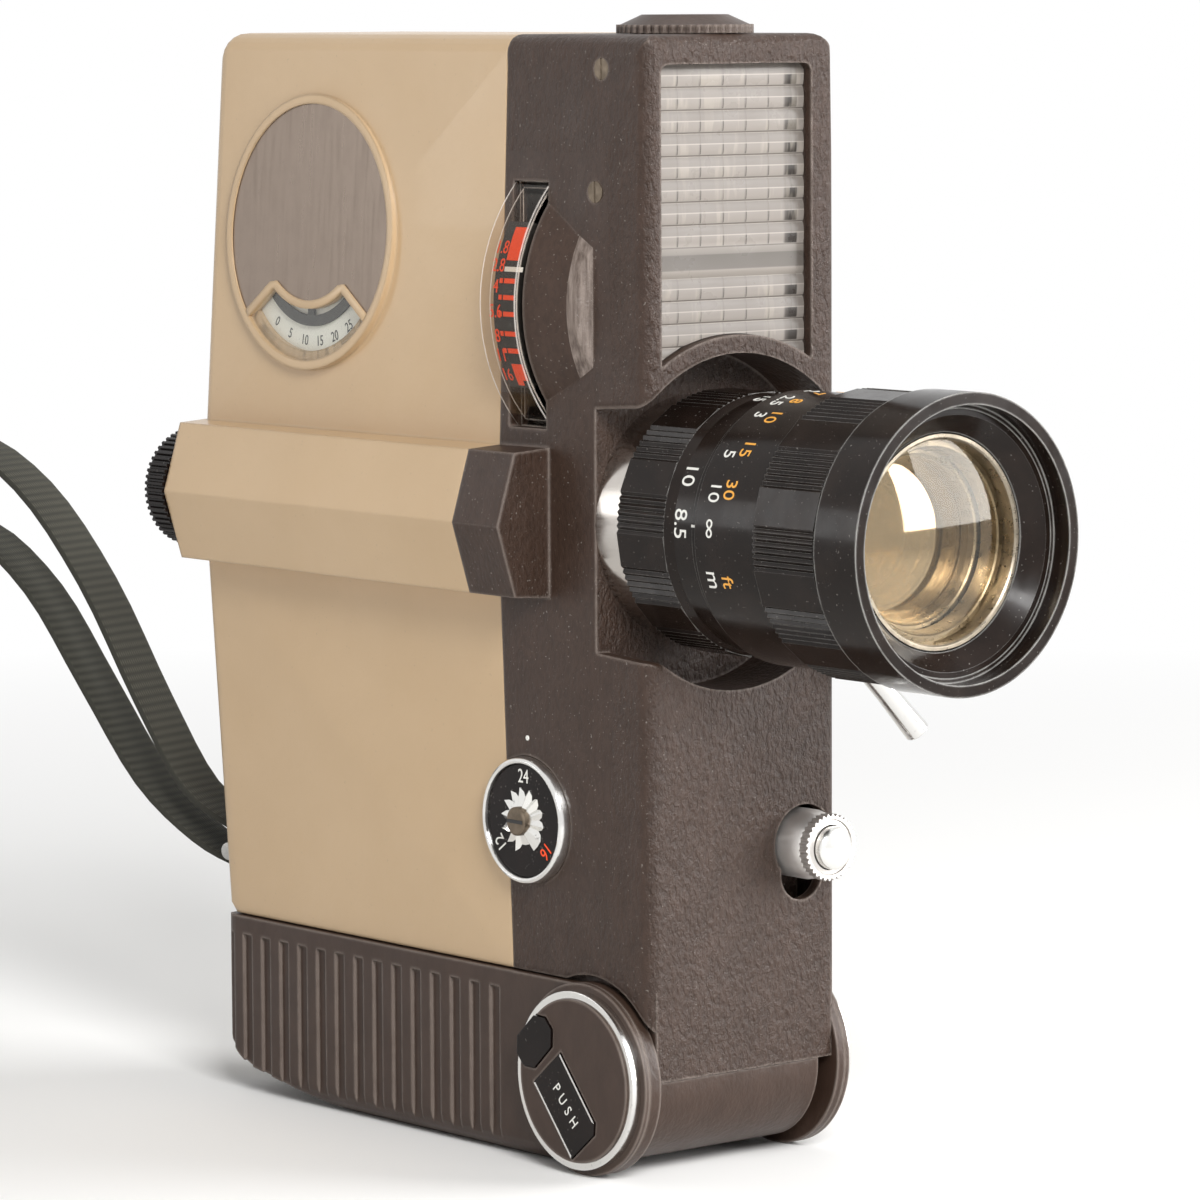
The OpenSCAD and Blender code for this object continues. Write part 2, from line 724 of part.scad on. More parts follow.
module door_pins() color([0.7, 0.7, 0.7])
    for (z = hinge_heights)
        rod_z(z - side_knuckle_len - ring_gap, z + knuckle_len + side_knuckle_len + ring_gap,
            pin_r, door_axis_x, seam_y);

module film_door() color([0.74, 0.66, 0.53]) {
    difference() {
        intersection() {
            shell_solid();
            block(door_joint + 0.1, 60, seam_y + 0.1, rear_y + 1, 0, 220);
        }
        shell_cavity();
        rod_x(right_run - 6, right_run + 6, 2.5 + run_gap, latch_y, latch_z);
        rod_z(0, 220, knuckle_r + 0.25, door_axis_x, seam_y);
    }
    for (z = hinge_heights) {
        knuckle(z, z + knuckle_len, pin_r + run_gap);
        difference() {
            block(right_run - cover_wall, door_axis_x, seam_y + 0.35, seam_y + 4, z,
                z + knuckle_len);
            rod_z(z - 1, z + knuckle_len + 1, pin_r + run_gap, door_axis_x, seam_y);
        }
    }
}

module door_latch() color([0.62, 0.62, 0.62])
    difference() {
        union() {
            rod_x(right_run + 0.1, right_run + 1.6, 7, latch_y, latch_z);
            rod_x(right_run - cover_wall - 1.2, right_run + 0.2, 2.5, latch_y, latch_z);
            block(right_run - cover_wall - 1.8, right_run - cover_wall - 0.6,
                latch_y - 2, latch_y + 2, latch_z - 6, latch_z + 6);
        }
        block(right_run + 0.9, right_run + 3, latch_y - 0.8, latch_y + 0.8,
            latch_z - 5, latch_z + 5);
    }

// ---- Chassis -----------------------------------------------------------

module main_plate() color([0.68, 0.68, 0.66])
    difference() {
        union() {
            // plate between the film chamber and the mechanism
            intersection() {
                shell_cavity();
                block(-main_x - main_t, -main_x, wall_y, rear_y, 0, 220);
            }
            // front wall of the film chamber
            intersection() {
                extrude_y(wall_y, gate_y) front_view(inner_foot, cover_wall + move_gap);
                block(-main_x - 0.1, 60, seam_y, 0, inner_foot, inner_top - move_gap);
            }
            // posts that carry the mechanism cover
            for (p = [[-12, inner_foot + 5], [inner_rear - 8, inner_foot + 5],
                [-12, inner_top - 8], [inner_rear - 8, inner_top - 10]])
                rod_x(inner_left, -main_x - main_t + 0.1, 3, p[0], p[1]);
            // arbors of the spring barrel, drive gear and shutter
            rod_x(drive_x0 - 0.6, -main_x - main_t + 0.1, 2, barrel_y, barrel_z);
            rod_x(drive_x0 - 0.6, -main_x - main_t + 0.1, 1.5, pinion_y, barrel_z);
            // spool spindles
            for (z = [supply_z, takeup_z])
                rod_x(-main_x - 0.1, spindle_end, spindle_r, spool_y, z);
        }
        // picture aperture and shutter bearing
        block(-aperture_w / 2 - 0.6, aperture_w / 2 + 0.6, wall_y - 1, gate_y + 1,
            lens_height - aperture_h / 2 - 0.6, lens_height + aperture_h / 2 + 0.6);
        rod_y(wall_y - 1, gate_y + 1, 1.5 + run_gap, shutter_x, shutter_z);
    }

module base_frame() color([0.25, 0.23, 0.21])
    difference() {
        union() {
            rod_x(neck_left + barrel_short, neck_right - 2.5, barrel_r, hinge_y, hinge_z);
            block(neck_left + cast_wall, neck_right - cast_wall, hinge_y, seam_y + 1,
                base_low, cover_foot);
            block(neck_left, neck_right, seam_y, inner_rear - 0.8, base_low, cover_foot);
            block(neck_left + barrel_short, neck_right - 2.5, hinge_y - 6, hinge_y + 6,
                hinge_z, base_low + 0.1);
        }
        block(-60, 60, front_y - 2, front_y + cast_wall + skin, front_foot - skin, 60);
        rod_x(-60, 60, axle_r + run_gap, hinge_y, hinge_z);
    }

// ---- Folding handle ----------------------------------------------------

// Side view of the handle, and of its hollow with inset: the floor rises to the heel
module grip_side(inset = 0) {
    back = rear_y - inset;
    high = inset == 0 ? handle_top : 60;
    polygon(rounded([[hinge_y, inset], [rear_y - 33, inset],
        [back - 4 + 0.25 * inset, 5.5 + 0.85 * inset], [back, 12 + 0.3 * inset],
        [back, high], [hinge_y, high]],
        [0, 60 - inset, heel_r - inset, 7 - inset, inset == 0 ? 1.2 : 0, 0], 6));
}

module handle_shell() color([0.25, 0.23, 0.21])
    difference() {
        union() {
            rod_x(side_left, side_right, ear_r, hinge_y, hinge_z);
            intersection() {
                extrude_x(side_left, side_right) grip_side();
                extrude_z(-1, 60) polygon(rounded([[side_left, -90], [side_right, -90],
                    [side_right, rear_y], [side_left, rear_y]], [0, 0, 4, 4]));
                extrude_y(-90, 90) polygon(rounded([[side_left, 0], [side_right, 0],
                    [side_right, 60], [side_left, 60]], [keel_r, keel_r, 0, 0]));
            }
        }
        // hollow between the sides, kept clear of the hinge barrel
        intersection() {
            extrude_x(ear_left, ear_right) grip_side(handle_wall);
            extrude_y(-90, 90) polygon(rounded([[ear_left, handle_wall],
                [ear_right, handle_wall], [ear_right, 80], [ear_left, 80]],
                [keel_r - handle_wall, keel_r - handle_wall, 0, 0]));
        }
        block(ear_left, ear_right, hinge_y - 30, hinge_y + 5.2, -1, 60);
        rod_x(-60, 60, axle_r, hinge_y, hinge_z);
        rod_y(rear_y - 5, rear_y + 5, 5, 0, hinge_z);
        // flutes down both sides
        for (i = [0:flutes - 1]) {
            y = rear_y - flute_rear - i * flute_pitch;
            if (y > hinge_y + ear_r + 3)
                for (x = [side_left - 1, side_right - flute_deep])
                    block(x, x + 1 + flute_deep, y - flute_w / 2, y + flute_w / 2, -1,
                        handle_top - 3);
        }
    }

// Inner plate that closes the grip, with its front wall beside the hinge barrel
module handle_liner() color([0.12, 0.12, 0.12]) {
    front = hinge_y + barrel_r + 0.6;
    high = base_low - 0.5;
    low = handle_wall + keel_r;
    block(ear_left, ear_right, seam_y + move_gap, rear_y - handle_wall, high - 1.3, high);
    block(neck_left + cast_wall + move_gap, neck_right - cast_wall - move_gap, front,
        seam_y + move_gap + 0.1, high - 1.3, high);
    block(neck_left + cast_wall + move_gap, neck_right - cast_wall - move_gap, front,
        front + 1.2, low - 0.1, high);
    block(ear_left + keel_r, ear_right - keel_r, front, front + 1.2, handle_wall, low);
}

// Openings of the two buttons in the left cap, seen from the side
module push_view(gap = 0) {
    l = 7.2 + gap;
    w = 4.3 + gap;
    translate([hinge_y + 1.6, hinge_z - 4.2]) rotate(50)
        polygon([[-l, -w], [l, -w], [l, w], [-l + 1.4, w], [-l, w - 1.4]]);
}
module lock_view(gap = 0) {
    l = 4.8 + gap;
    w = 3.1 + gap;
    translate([hinge_y + 9.3, hinge_z + 5.1]) rotate(-43)
        polygon([[-l, -w + 2], [-l + 2, -w], [l - 2, -w], [l, -w + 2],
            [l, w - 2], [l - 2, w], [-l + 2, w], [-l, w - 2]]);
}

module left_cap() color([0.27, 0.25, 0.23])
    difference() {
        union() {
            rod_x(side_left - 0.9, side_left, ear_r, hinge_y, hinge_z);
            rod_x(side_left - cap_t, side_left - 0.8, ring_r - ring_w, hinge_y, hinge_z);
        }
        extrude_x(side_left - 9, side_left + 1) push_view(0.15);
        extrude_x(side_left - 9, side_left + 1) lock_view(0.15);
    }

module right_cap() color([0.27, 0.25, 0.23]) {
    rod_x(side_right, side_right + 0.9, ear_r, hinge_y, hinge_z);
    rod_x(side_right + 0.8, side_right + cap_t - 0.6, ring_r - ring_w, hinge_y, hinge_z);
}

module cap_rings() color([0.82, 0.82, 0.82]) {
    difference() {
        ring_x(side_left - cap_t + 0.4, side_left - 0.9, ring_r, ring_r - ring_w,
            hinge_y, hinge_z);
        extrude_x(side_left - 9, side_left + 1) lock_view(0.15);
    }
    ring_x(side_right + 0.9, side_right + cap_t - 0.9, ring_r, ring_r - ring_w,
        hinge_y, hinge_z);
}

module push_button() color([0.05, 0.04, 0.04])
    extrude_x(side_left - cap_t - 0.2, side_left - cap_travel - 0.1) push_view();

module lock_button() color([0.05, 0.05, 0.05])
    extrude_x(side_left - cap_t - 0.3, side_left - cap_travel - 0.1) lock_view();

module handle_axle() color([0.7, 0.7, 0.7])
    rod_x(side_left, side_right, axle_r, hinge_y, hinge_z);

module tripod_bush() color([0.72, 0.6, 0.35])
    ring_y(rear_y - 9, rear_y, 5, 2.55, 0, hinge_z);

// ---- Light meter and exposure scale ------------------------------------

module meter_window() color([0.8, 0.84, 0.86, 0.5]) {
    y0 = front_y + window_sink;
    extrude_y(y0 + 0.5, y0 + window_t) window_view();
    intersection() {
        extrude_y(y0, y0 + 0.6) window_view();
        for (i = [0:11])
            block(-60, 60, y0 - 1, y0 + 1, body_height - window_drop - 0.6 - i * rib_pitch
                - rib_pitch * 0.6, body_height - window_drop - 0.6 - i * rib_pitch);
    }
}

module meter_cell() color([0.42, 0.42, 0.44]) {
    y0 = front_y + window_sink + window_t;
    block(-left_run + cast_wall, right_run - top_taper - cast_wall - 0.3, y0, cell_rear_y,
        lens_height + scoop_r + cast_wall + 0.2, body_height - window_drop + 1);
}

module meter_movement() color([0.15, 0.15, 0.16]) {
    case_front = mid_y + cast_wall + 0.4;
    rod_y(cell_rear_y, case_front + 0.1, 4.8, arc_x, arc_z);
    rod_y(case_front, arc_front_y - 3, 9.5, arc_x, arc_z);
    rod_y(arc_front_y - 3.1, arc_front_y + 1.4, 1.2, arc_x, arc_z);
}

// Printed drum sector behind the clear arc, on its arm
module exposure_scale() color([0.85, 0.3, 0.12]) {
    difference() {
        ring_y(arc_front_y + 1.3, arc_rear_y - 1.3, drum_r, drum_r - 1, arc_x, arc_z);
        extrude_y(arc_front_y, arc_rear_y) translate([arc_x, arc_z])
            polygon([[0, 0], [-60, -34], [-60, -60], [60, -60], [60, 60], [-60, 60],
                [-60, 34]]);
    }
    difference() {
        union() {
            block(arc_x - drum_r + 0.5, arc_x, arc_front_y + 1.3, arc_front_y + 2.3,
                arc_z - 2, arc_z + 2);
            rod_y(arc_front_y - 0.6, arc_front_y + 2.4, 3, arc_x, arc_z);
        }
        rod_y(arc_front_y - 4, arc_front_y + 1.6, 1.2 + run_gap, arc_x, arc_z);
    }
}

module scale_window() color([0.9, 0.9, 0.9, 0.35])
    difference() {
        intersection() {
            rod_y(arc_front_y, arc_rear_y, arc_r, arc_x, arc_z);
            block(-60, -left_run + 0.6, arc_front_y - 1, arc_rear_y + 1,
                arc_z - 19.4, arc_z + 19.4);
        }
        rod_y(arc_front_y + arc_wall * 0.8, arc_rear_y - arc_wall * 0.8,
            arc_r - arc_wall, arc_x, arc_z);
    }

// ---- Nameplate and footage counter -------------------------------------

module nameplate() color([0.5, 0.49, 0.47])
    on_side() extrude_x(-plate_t, 0) difference() {
        circle(r = plate_disc_r);
        fan_view(plate_disc_r + 1);
    }

module counter_window() color([0.92, 0.92, 0.92, 0.3])
    on_side() extrude_x(-plate_t, 0) intersection() {
        circle(r = plate_disc_r);
        fan_view(plate_disc_r + 1);
    }

module counter_dial() color([0.9, 0.88, 0.82])
    on_side() ring_x(1.1, 1.1 + dial_t, plate_disc_r - plate_ledge, 1 + run_gap, 0, 0);

// Black arc that swings over the counter dial, on its pivot behind the nameplate
module counter_pointer() color([0.1, 0.1, 0.1])
    on_side() {
        difference() {
            ring_x(0.5, 0.9, 15.4, 13.6, 0, 0);
            extrude_x(0, 2) polygon([[0, 0], [-30, -21], [-30, 40], [30, 40], [30, -21]]);
        }
        block(0.5, 0.9, -0.8, 0.8, -14, 0);
        rod_x(0.5, 0.9, 3, 0, 0);
        rod_x(0.5, cover_wall + 2.5, 1, 0, 0);
    }

// ---- Finder ------------------------------------------------------------

module finder_tube() color([0.1, 0.1, 0.1])
    ring_y(seam_y + 4, rear_y + 3.6, finder_r, finder_r - 1.2, finder_x, finder_z);

module eyepiece_ring() color([0.14, 0.14, 0.14])
    translate([finder_x, rear_y + 0.3 + eyepiece_len, finder_z]) rotate([90, 0, 0])
        difference() {
            linear_extrude(eyepiece_len) difference() {
                toothed(56, eyepiece_r - 0.4, eyepiece_r, 0.36);
                circle(r = finder_r + run_gap);
            }
            translate([0, 0, -1]) cylinder(h = 1.6, r1 = eyepiece_r - 0.6,
                r2 = finder_r);
        }

module eyepiece_lens() color([0.75, 0.85, 0.9, 0.4])
    rod_y(rear_y - 2, rear_y + 1.6, finder_r - 1.2, finder_x, finder_z);

prism_size = 8;
module beam_prism() color([0.75, 0.85, 0.9, 0.45])
    block(-prism_size / 2, prism_size / 2, nose_y + 1.7, nose_y + 1.7 + prism_size,
        finder_z - prism_size / 2, finder_z + prism_size / 2);

module finder_mirror() color([0.8, 0.82, 0.85])
    translate([finder_x, nose_y + 7.4, finder_z]) rotate([0, 0, -45])
        cube([13, 1.4, 11], center = true);

// ---- Zoom lens ---------------------------------------------------------

module lens_mount() color([0.78, 0.78, 0.76])
    lens_ring(mount_front, mid_y, mount_r, barrel_tube_r);

module lens_barrel() color([0.15, 0.15, 0.15])
    lens_ring(barrel_front, barrel_rear, barrel_tube_r, barrel_tube_r - tube_wall);

// Grip made of groups of fine teeth with plain lands between them; the first group's
// middle stands at the angle start
module grip_section(groups, per, tip, start)
    polygon([for (g = [0:groups - 1]) for (k = [0:2 * per])
        let (a = start + 360 * (g + grip_share * (k / (2 * per) - 0.5)) / groups,
            r = k % 2 == 0 ? tip : tip - grip_deep)
        [r * cos(a), r * sin(a)]]);

module zoom_ring() color([0.06, 0.06, 0.06]) {
    band = 4.2;
    bevel = 2;
    difference() {
        union() {
            extrude_y(zoom_front + band + bevel, zoom_rear) translate([0, lens_height])
                grip_section(grip_groups, 6, zoom_r, 173);
            cone_y(zoom_front + band, zoom_front + band + bevel, zoom_r - 0.6, zoom_r - 0.2,
                0, lens_height);
            rod_y(zoom_front, zoom_front + band, zoom_r - 0.6, 0, lens_height);
        }
        rod_y(zoom_front - 1, zoom_rear + 1, bore_r, 0, lens_height);
        translate([0, lever_y, lens_height]) rotate([0, 135, 0])
            cylinder(h = zoom_r + 5, r = lever_r);
    }
}

module zoom_lever() color([0.85, 0.85, 0.85])
    translate([0, lever_y, lens_height]) rotate([0, 135, 0])
        intersection() {
            union() {
                cylinder(h = lever_reach, r = lever_r);
                translate([0, 0, lever_reach - 9])
                    cylinder(h = 9, r1 = lever_r, r2 = lever_r + 0.3);
            }
            translate([0, 0, barrel_tube_r + 1.5]) cylinder(h = 60, r = 5);
        }

module index_ring() color([0.08, 0.08, 0.08])
    lens_ring(index_front, index_rear, index_r, barrel_tube_r);

module focus_helicoid() color([0.6, 0.55, 0.4])
    lens_ring(focus_rear - 17, focus_rear - 3, helicoid_r, bore_r);

module focus_ring() color([0.06, 0.06, 0.06])
    difference() {
        union() {
            rod_y(focus_front, focus_rear, focus_r, 0, lens_height);
            extrude_y(focus_front + 1, focus_front + 14.5) translate([0, lens_height])
                grip_section(grip_groups, 7, grip_r, 181.5);
        }
        rod_y(focus_rear - 3, focus_rear + 1, bore_r + 0.04, 0, lens_height);
        rod_y(focus_rear - 17, focus_rear - 2.9, helicoid_r + run_gap, 0, lens_height);
        rod_y(focus_front - 1, focus_rear - 16.9, bore_r + 1.4, 0, lens_height);
    }

module front_rim() color([0.06, 0.06, 0.06])
    difference() {
        rod_y(rim_front, focus_front, rim_r, 0, lens_height);
        rod_y(rim_front - 1, rim_front + thread_len, thread_r, 0, lens_height);
        rod_y(rim_front + thread_len - 0.1, rim_front + 6.2, thread_r - 0.8, 0, lens_height);
        rod_y(rim_front, focus_front + 1, glass_r + skin, 0, lens_height);
    }

module name_ring() color([0.05, 0.05, 0.05])
    difference() {
        rod_y(rim_front + thread_len, rim_front + 6.2, thread_r - 0.8, 0, lens_height);
        cone_y(rim_front + thread_len - 0.1, rim_front + 6.3, thread_r - 1.6, glass_r, 0,
            lens_height);
    }

module front_lens() color([0.85, 0.8, 0.68, 0.45])
    rod_y(rim_front + 5.6, focus_front, glass_r, 0, lens_height);

module zoom_group() color([0.3, 0.3, 0.32]) {
    middle = zoom_cell_rear - zoom_cell_len / 2;
    lens_ring(zoom_cell_rear - zoom_cell_len, zoom_cell_rear, zoom_cell_r,
        zoom_cell_r - zoom_cell_wall);
    rod_y(middle - zoom_glass_t / 2, middle + zoom_glass_t / 2,
        zoom_cell_r - zoom_cell_wall + 0.1, 0, lens_height);
}

module iris() color([0.2, 0.2, 0.22])
    lens_ring(mid_y - 1, mid_y - 0.2, barrel_tube_r - tube_wall, 5);

module rear_lens() color([0.75, 0.85, 0.9, 0.45])
    rod_y(mid_y + 2, mid_y + 7, barrel_tube_r - tube_wall, 0, lens_height);

// ---- Release -----------------------------------------------------------

module release_sleeve() color([0.78, 0.78, 0.76])
    difference() {
        union() {
            rod_y(front_y - 4.4, front_y + 1, sleeve_r, release_x, release_z);
            rod_y(front_y - 6.2, front_y - 4.3, 4.4, release_x, release_z);
            rod_y(front_y, release_floor + cast_wall, 4.2, release_x, release_z);
        }
        rod_y(front_y - 9, release_floor + 9, button_r + run_gap, release_x, release_z);
    }

module release_collar() color([0.78, 0.78, 0.76])
    extrude_y(front_y - 6.4, front_y - 4.6) translate([release_x, release_z])
        difference() {
            toothed(28, sleeve_r - 0.55, sleeve_r - 0.25, 0.36);
            circle(r = 4.4 + run_gap);
        }

module release_button() color([0.85, 0.85, 0.84]) {
    rod_y(front_y - 7.4, release_floor + cast_wall + 1, button_r, release_x, release_z);
    intersection() {
        translate([release_x, front_y - 7.4 + 5.2, release_z]) sphere(r = 6.3);
        rod_y(front_y - 9, front_y - 7.3, button_r, release_x, release_z);
    }
}

// ---- Speed dial and film speed wheel -----------------------------------

module speed_bezel() color([0.8, 0.8, 0.8])
    ring_x(speed_x - speed_h, speed_x, speed_r, speed_r - 1.2, speed_y, speed_z);

module speed_dial() color([0.05, 0.05, 0.05])
    difference() {
        union() {
            rod_x(speed_x - 1.6, speed_x - 0.2, speed_r - 1.2 - run_gap, speed_y, speed_z);
            rod_x(speed_x - 0.3, inner_left + 2, 2.6 - run_gap, speed_y, speed_z);
        }
        rod_x(speed_x - 3, speed_x + 1, 1.5, speed_y, speed_z);
    }

module speed_knob() color([0.82, 0.82, 0.82])
    difference() {
        union() {
            extrude_x(speed_x - 3.6, speed_x - 1.6) translate([speed_y, speed_z])
                toothed(14, 4.2, 5.2, 0.42);
            rod_x(speed_x - 1.7, speed_x + 1, 1.5, speed_y, speed_z);
        }
        block(speed_x - 4, speed_x - 3, speed_y - 0.4, speed_y + 0.4, speed_z - 2,
            speed_z + 2);
    }

module film_speed_wheel() color([0.25, 0.24, 0.22])
    difference() {
        union() {
            extrude_z(body_height + 0.1, body_height + 0.1 + asa_h * 0.45)
                translate([0, asa_y]) toothed(48, asa_r - 0.4, asa_r, 0.36);
            translate([0, asa_y, body_height + asa_h * 0.45])
                cylinder(h = asa_h * 0.55, r1 = asa_r - 0.4, r2 = asa_r - 4);
            rod_z(body_height - 3, body_height + 0.2, 2.1 - run_gap, 0, asa_y);
        }
        block(-3, 3, asa_y - 0.4, asa_y + 0.4, body_height + asa_h - 0.5, body_height + 9);
    }

// ---- Film path ---------------------------------------------------------

module film_gate() color([0.75, 0.75, 0.75])
    difference() {
        block(-main_x + 0.2, spool_left + spool_w - 1, gate_y, gate_y + 1.2,
            lens_height - gate_half, lens_height + gate_half);
        block(-aperture_w / 2, aperture_w / 2, gate_y - 1, gate_y + 3,
            lens_height - aperture_h / 2, lens_height + aperture_h / 2);
    }

module pressure_plate() color([0.6, 0.6, 0.6])
    block(-main_x + 0.4, spool_left + spool_w - 1.4, gate_y + 1.5, gate_y + 2.7,
        lens_height - gate_half + 4, lens_height + gate_half - 4);

module spool(z) {
    flange = 0.8;
    x1 = spool_left + spool_w;
    difference() {
        union() {
            rod_x(spool_left, spool_left + flange, spool_r, spool_y, z);
            rod_x(spool_left + flange - 0.1, x1 - flange + 0.1, hub_r, spool_y, z);
            rod_x(x1 - flange, x1, spool_r, spool_y, z);
        }
        rod_x(spool_left - 1, x1 + 1, spindle_r + run_gap, spool_y, z);
    }
}
module supply_spool() color([0.2, 0.2, 0.22]) spool(supply_z);
module takeup_spool() color([0.2, 0.2, 0.22]) spool(takeup_z);

// ---- Spring drive ------------------------------------------------------

module spring_barrel() color([0.75, 0.62, 0.35])
    extrude_x(drive_x0, drive_x1) translate([barrel_y, barrel_z]) difference() {
        toothed(barrel_teeth, pitch_big - 1.15 * gear_m, pitch_big + 0.7 * gear_m, 0.26, 0.5);
        circle(r = 2 + run_gap);
    }

module drive_gear() color([0.75, 0.62, 0.35])
    extrude_x(drive_x0, drive_x1) translate([pinion_y, barrel_z]) difference() {
        toothed(pinion_teeth, pitch_small - 1.15 * gear_m, pitch_small + 0.7 * gear_m, 0.26);
        circle(r = 1.5 + run_gap);
    }

module shutter_disc() color([0.1, 0.1, 0.1]) {
    difference() {
        rod_y(shutter_y, shutter_y + 0.6, shutter_r, shutter_x, shutter_z);
        extrude_y(shutter_y - 1, shutter_y + 2) translate([shutter_x, shutter_z])
            polygon([[0, -5], [20, -26], [-20, -26]]);
    }
    rod_y(shutter_y - 7, gate_y, 1.5, shutter_x, shutter_z);
}

// ---- Strap -------------------------------------------------------------

// Bar on two studs, set square to the strap
lug_step = [lug_span * cos(strap_turn), lug_span * sin(strap_turn)];
module strap_lug() color([0.75, 0.75, 0.75]) {
    for (s = [-1, 1])
        rod_y(inner_rear - 0.5, rear_y + lug_reach + s * lug_step[1], stud_r,
            lug_x + s * lug_step[0], lug_z);
    translate([lug_x, rear_y + lug_reach, lug_z]) rotate([0, 90, strap_turn])
        cylinder(h = 2 * lug_span + 2.4, r = lug_r, center = true);
}

module strap() color([0.2, 0.21, 0.18])
    translate([lug_x, rear_y + lug_reach, 0]) rotate([90, 0, 90 + strap_turn])
        linear_extrude(strap_w, center = true)
            polygon(concat(band_side(strap_path, 0.5),
                reverse_list(band_side(strap_path, -0.5))));

strap_path = smooth(concat(strap_upper, strap_lower), 3);

// Points beside a path at a share of the strap's thickness
function band_side(p, side) =
    [for (i = [0:len(p) - 1])
        let (d = unit(p[min(i + 1, len(p) - 1)] - p[max(i - 1, 0)]))
        p[i] + side * strap_t * [-d[1], d[0]]];
function reverse_list(p) = [for (i = [len(p) - 1:-1:0]) p[i]];

front_casting();
mechanism_cover();
film_door();
main_plate();
base_frame();
handle_shell();
handle_liner();
left_cap();
right_cap();
cap_rings();
push_button();
lock_button();
handle_axle();
tripod_bush();
meter_window();
meter_cell();
meter_movement();
exposure_scale();
scale_window();
nameplate();
counter_dial();
counter_pointer();
counter_window();
finder_tube();
beam_prism();
finder_mirror();
eyepiece_ring();
eyepiece_lens();
lens_mount();
lens_barrel();
zoom_ring();
zoom_lever();
index_ring();
focus_helicoid();
focus_ring();
front_rim();
name_ring();
front_lens();
zoom_group();
rear_lens();
iris();
release_sleeve();
release_collar();
release_button();
speed_bezel();
speed_dial();
speed_knob();
film_speed_wheel();
film_gate();
pressure_plate();
supply_spool();
takeup_spool();
spring_barrel();
drive_gear();
shutter_disc();
door_pins();
door_latch();
case_screws();
strap_lug();
strap();
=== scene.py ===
import math
import bpy, bmesh
from mathutils import Matrix, Vector


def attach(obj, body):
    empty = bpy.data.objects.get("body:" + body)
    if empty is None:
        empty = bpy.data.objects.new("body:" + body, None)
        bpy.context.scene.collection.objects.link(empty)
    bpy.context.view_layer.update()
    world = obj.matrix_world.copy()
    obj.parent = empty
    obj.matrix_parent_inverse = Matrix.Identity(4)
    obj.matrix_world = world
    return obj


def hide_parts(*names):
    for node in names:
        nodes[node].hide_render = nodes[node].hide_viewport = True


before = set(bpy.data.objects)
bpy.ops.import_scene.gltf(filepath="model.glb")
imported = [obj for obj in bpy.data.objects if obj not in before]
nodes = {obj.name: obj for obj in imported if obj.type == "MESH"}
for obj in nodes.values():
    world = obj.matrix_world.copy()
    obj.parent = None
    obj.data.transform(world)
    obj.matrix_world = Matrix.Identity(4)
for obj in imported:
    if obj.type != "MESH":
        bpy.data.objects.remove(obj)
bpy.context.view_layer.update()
mm = 0.001
print("frame loaded:", len(nodes), "nodes")

# the camera, with angles in degrees and the lens in mm
shot = {"place": (-0.5904, -0.7284, 0.1858), "yaw": 39.85, "pitch": -6.04, "roll": -0.28, "lens": 172.3}


def setCamera():
    yaw, pitch, roll = (math.radians(shot[k]) for k in ("yaw", "pitch", "roll"))
    look = Vector((math.sin(yaw) * math.cos(pitch), math.cos(yaw) * math.cos(pitch), math.sin(pitch)))
    side = look.cross(Vector((0, 0, 1))).normalized()
    top = side.cross(look)
    side, top = (side * math.cos(roll) + top * math.sin(roll),
                 top * math.cos(roll) - side * math.sin(roll))
    bpy.ops.object.camera_add(location=shot["place"])
    cam = bpy.context.object
    cam.name = "shotCamera"
    turn = Matrix((side, top, -look)).transposed()
    cam.matrix_world = Matrix.Translation(shot["place"]) @ turn.to_4x4()
    cam.data.sensor_width = 36
    cam.data.lens = shot["lens"]
    bpy.context.scene.camera = cam


setCamera()
print("camera set")

# modelling helpers; sizes are in mm
lensZ = 103.25  # height of the lens axis
figureScale = 1.38  # text size over the height of a figure


def dropSelection():
    if bpy.context.object and bpy.context.object.mode != "OBJECT":
        bpy.ops.object.mode_set(mode="OBJECT")
    bpy.ops.object.select_all(action="DESELECT")


def pick(obj):
    dropSelection()
    obj.select_set(True)
    bpy.context.view_layer.objects.active = obj


def edit(obj, select="SELECT"):
    pick(obj)
    bpy.ops.object.mode_set(mode="EDIT")
    bpy.ops.mesh.select_mode(type="VERT")
    bpy.ops.mesh.select_all(action=select)


def leave():
    bpy.ops.object.mode_set(mode="OBJECT")


def settle(obj):
    pick(obj)
    bpy.ops.object.transform_apply(location=True, rotation=True, scale=True)


def smoothEdges(obj, angle=32):
    pick(obj)
    bpy.ops.object.shade_smooth_by_angle(angle=math.radians(angle))


def roundOff(obj, width, steps=2, angle=30):
    pick(obj)
    m = obj.modifiers.new("round", "BEVEL")
    m.width, m.segments, m.limit_method, m.angle_limit = width * mm, steps, "ANGLE", math.radians(angle)
    bpy.ops.object.modifier_apply(modifier="round")


def dress(obj, name, body, material, stands=()):
    obj.name = name
    obj.data.name = name
    obj.data.materials.clear()
    obj.data.materials.append(material)
    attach(obj, body)
    if stands:
        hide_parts(*stands)
    return obj


def brick(x0, x1, y0, y1, z0, z1):
    dropSelection()
    bpy.ops.mesh.primitive_cube_add(size=1, location=(0, 0, 0))
    o = bpy.context.object
    o.scale = ((x1 - x0) * mm, (y1 - y0) * mm, (z1 - z0) * mm)
    o.location = ((x0 + x1) / 2 * mm, (y0 + y1) / 2 * mm, (z0 + z1) / 2 * mm)
    settle(o)
    return o


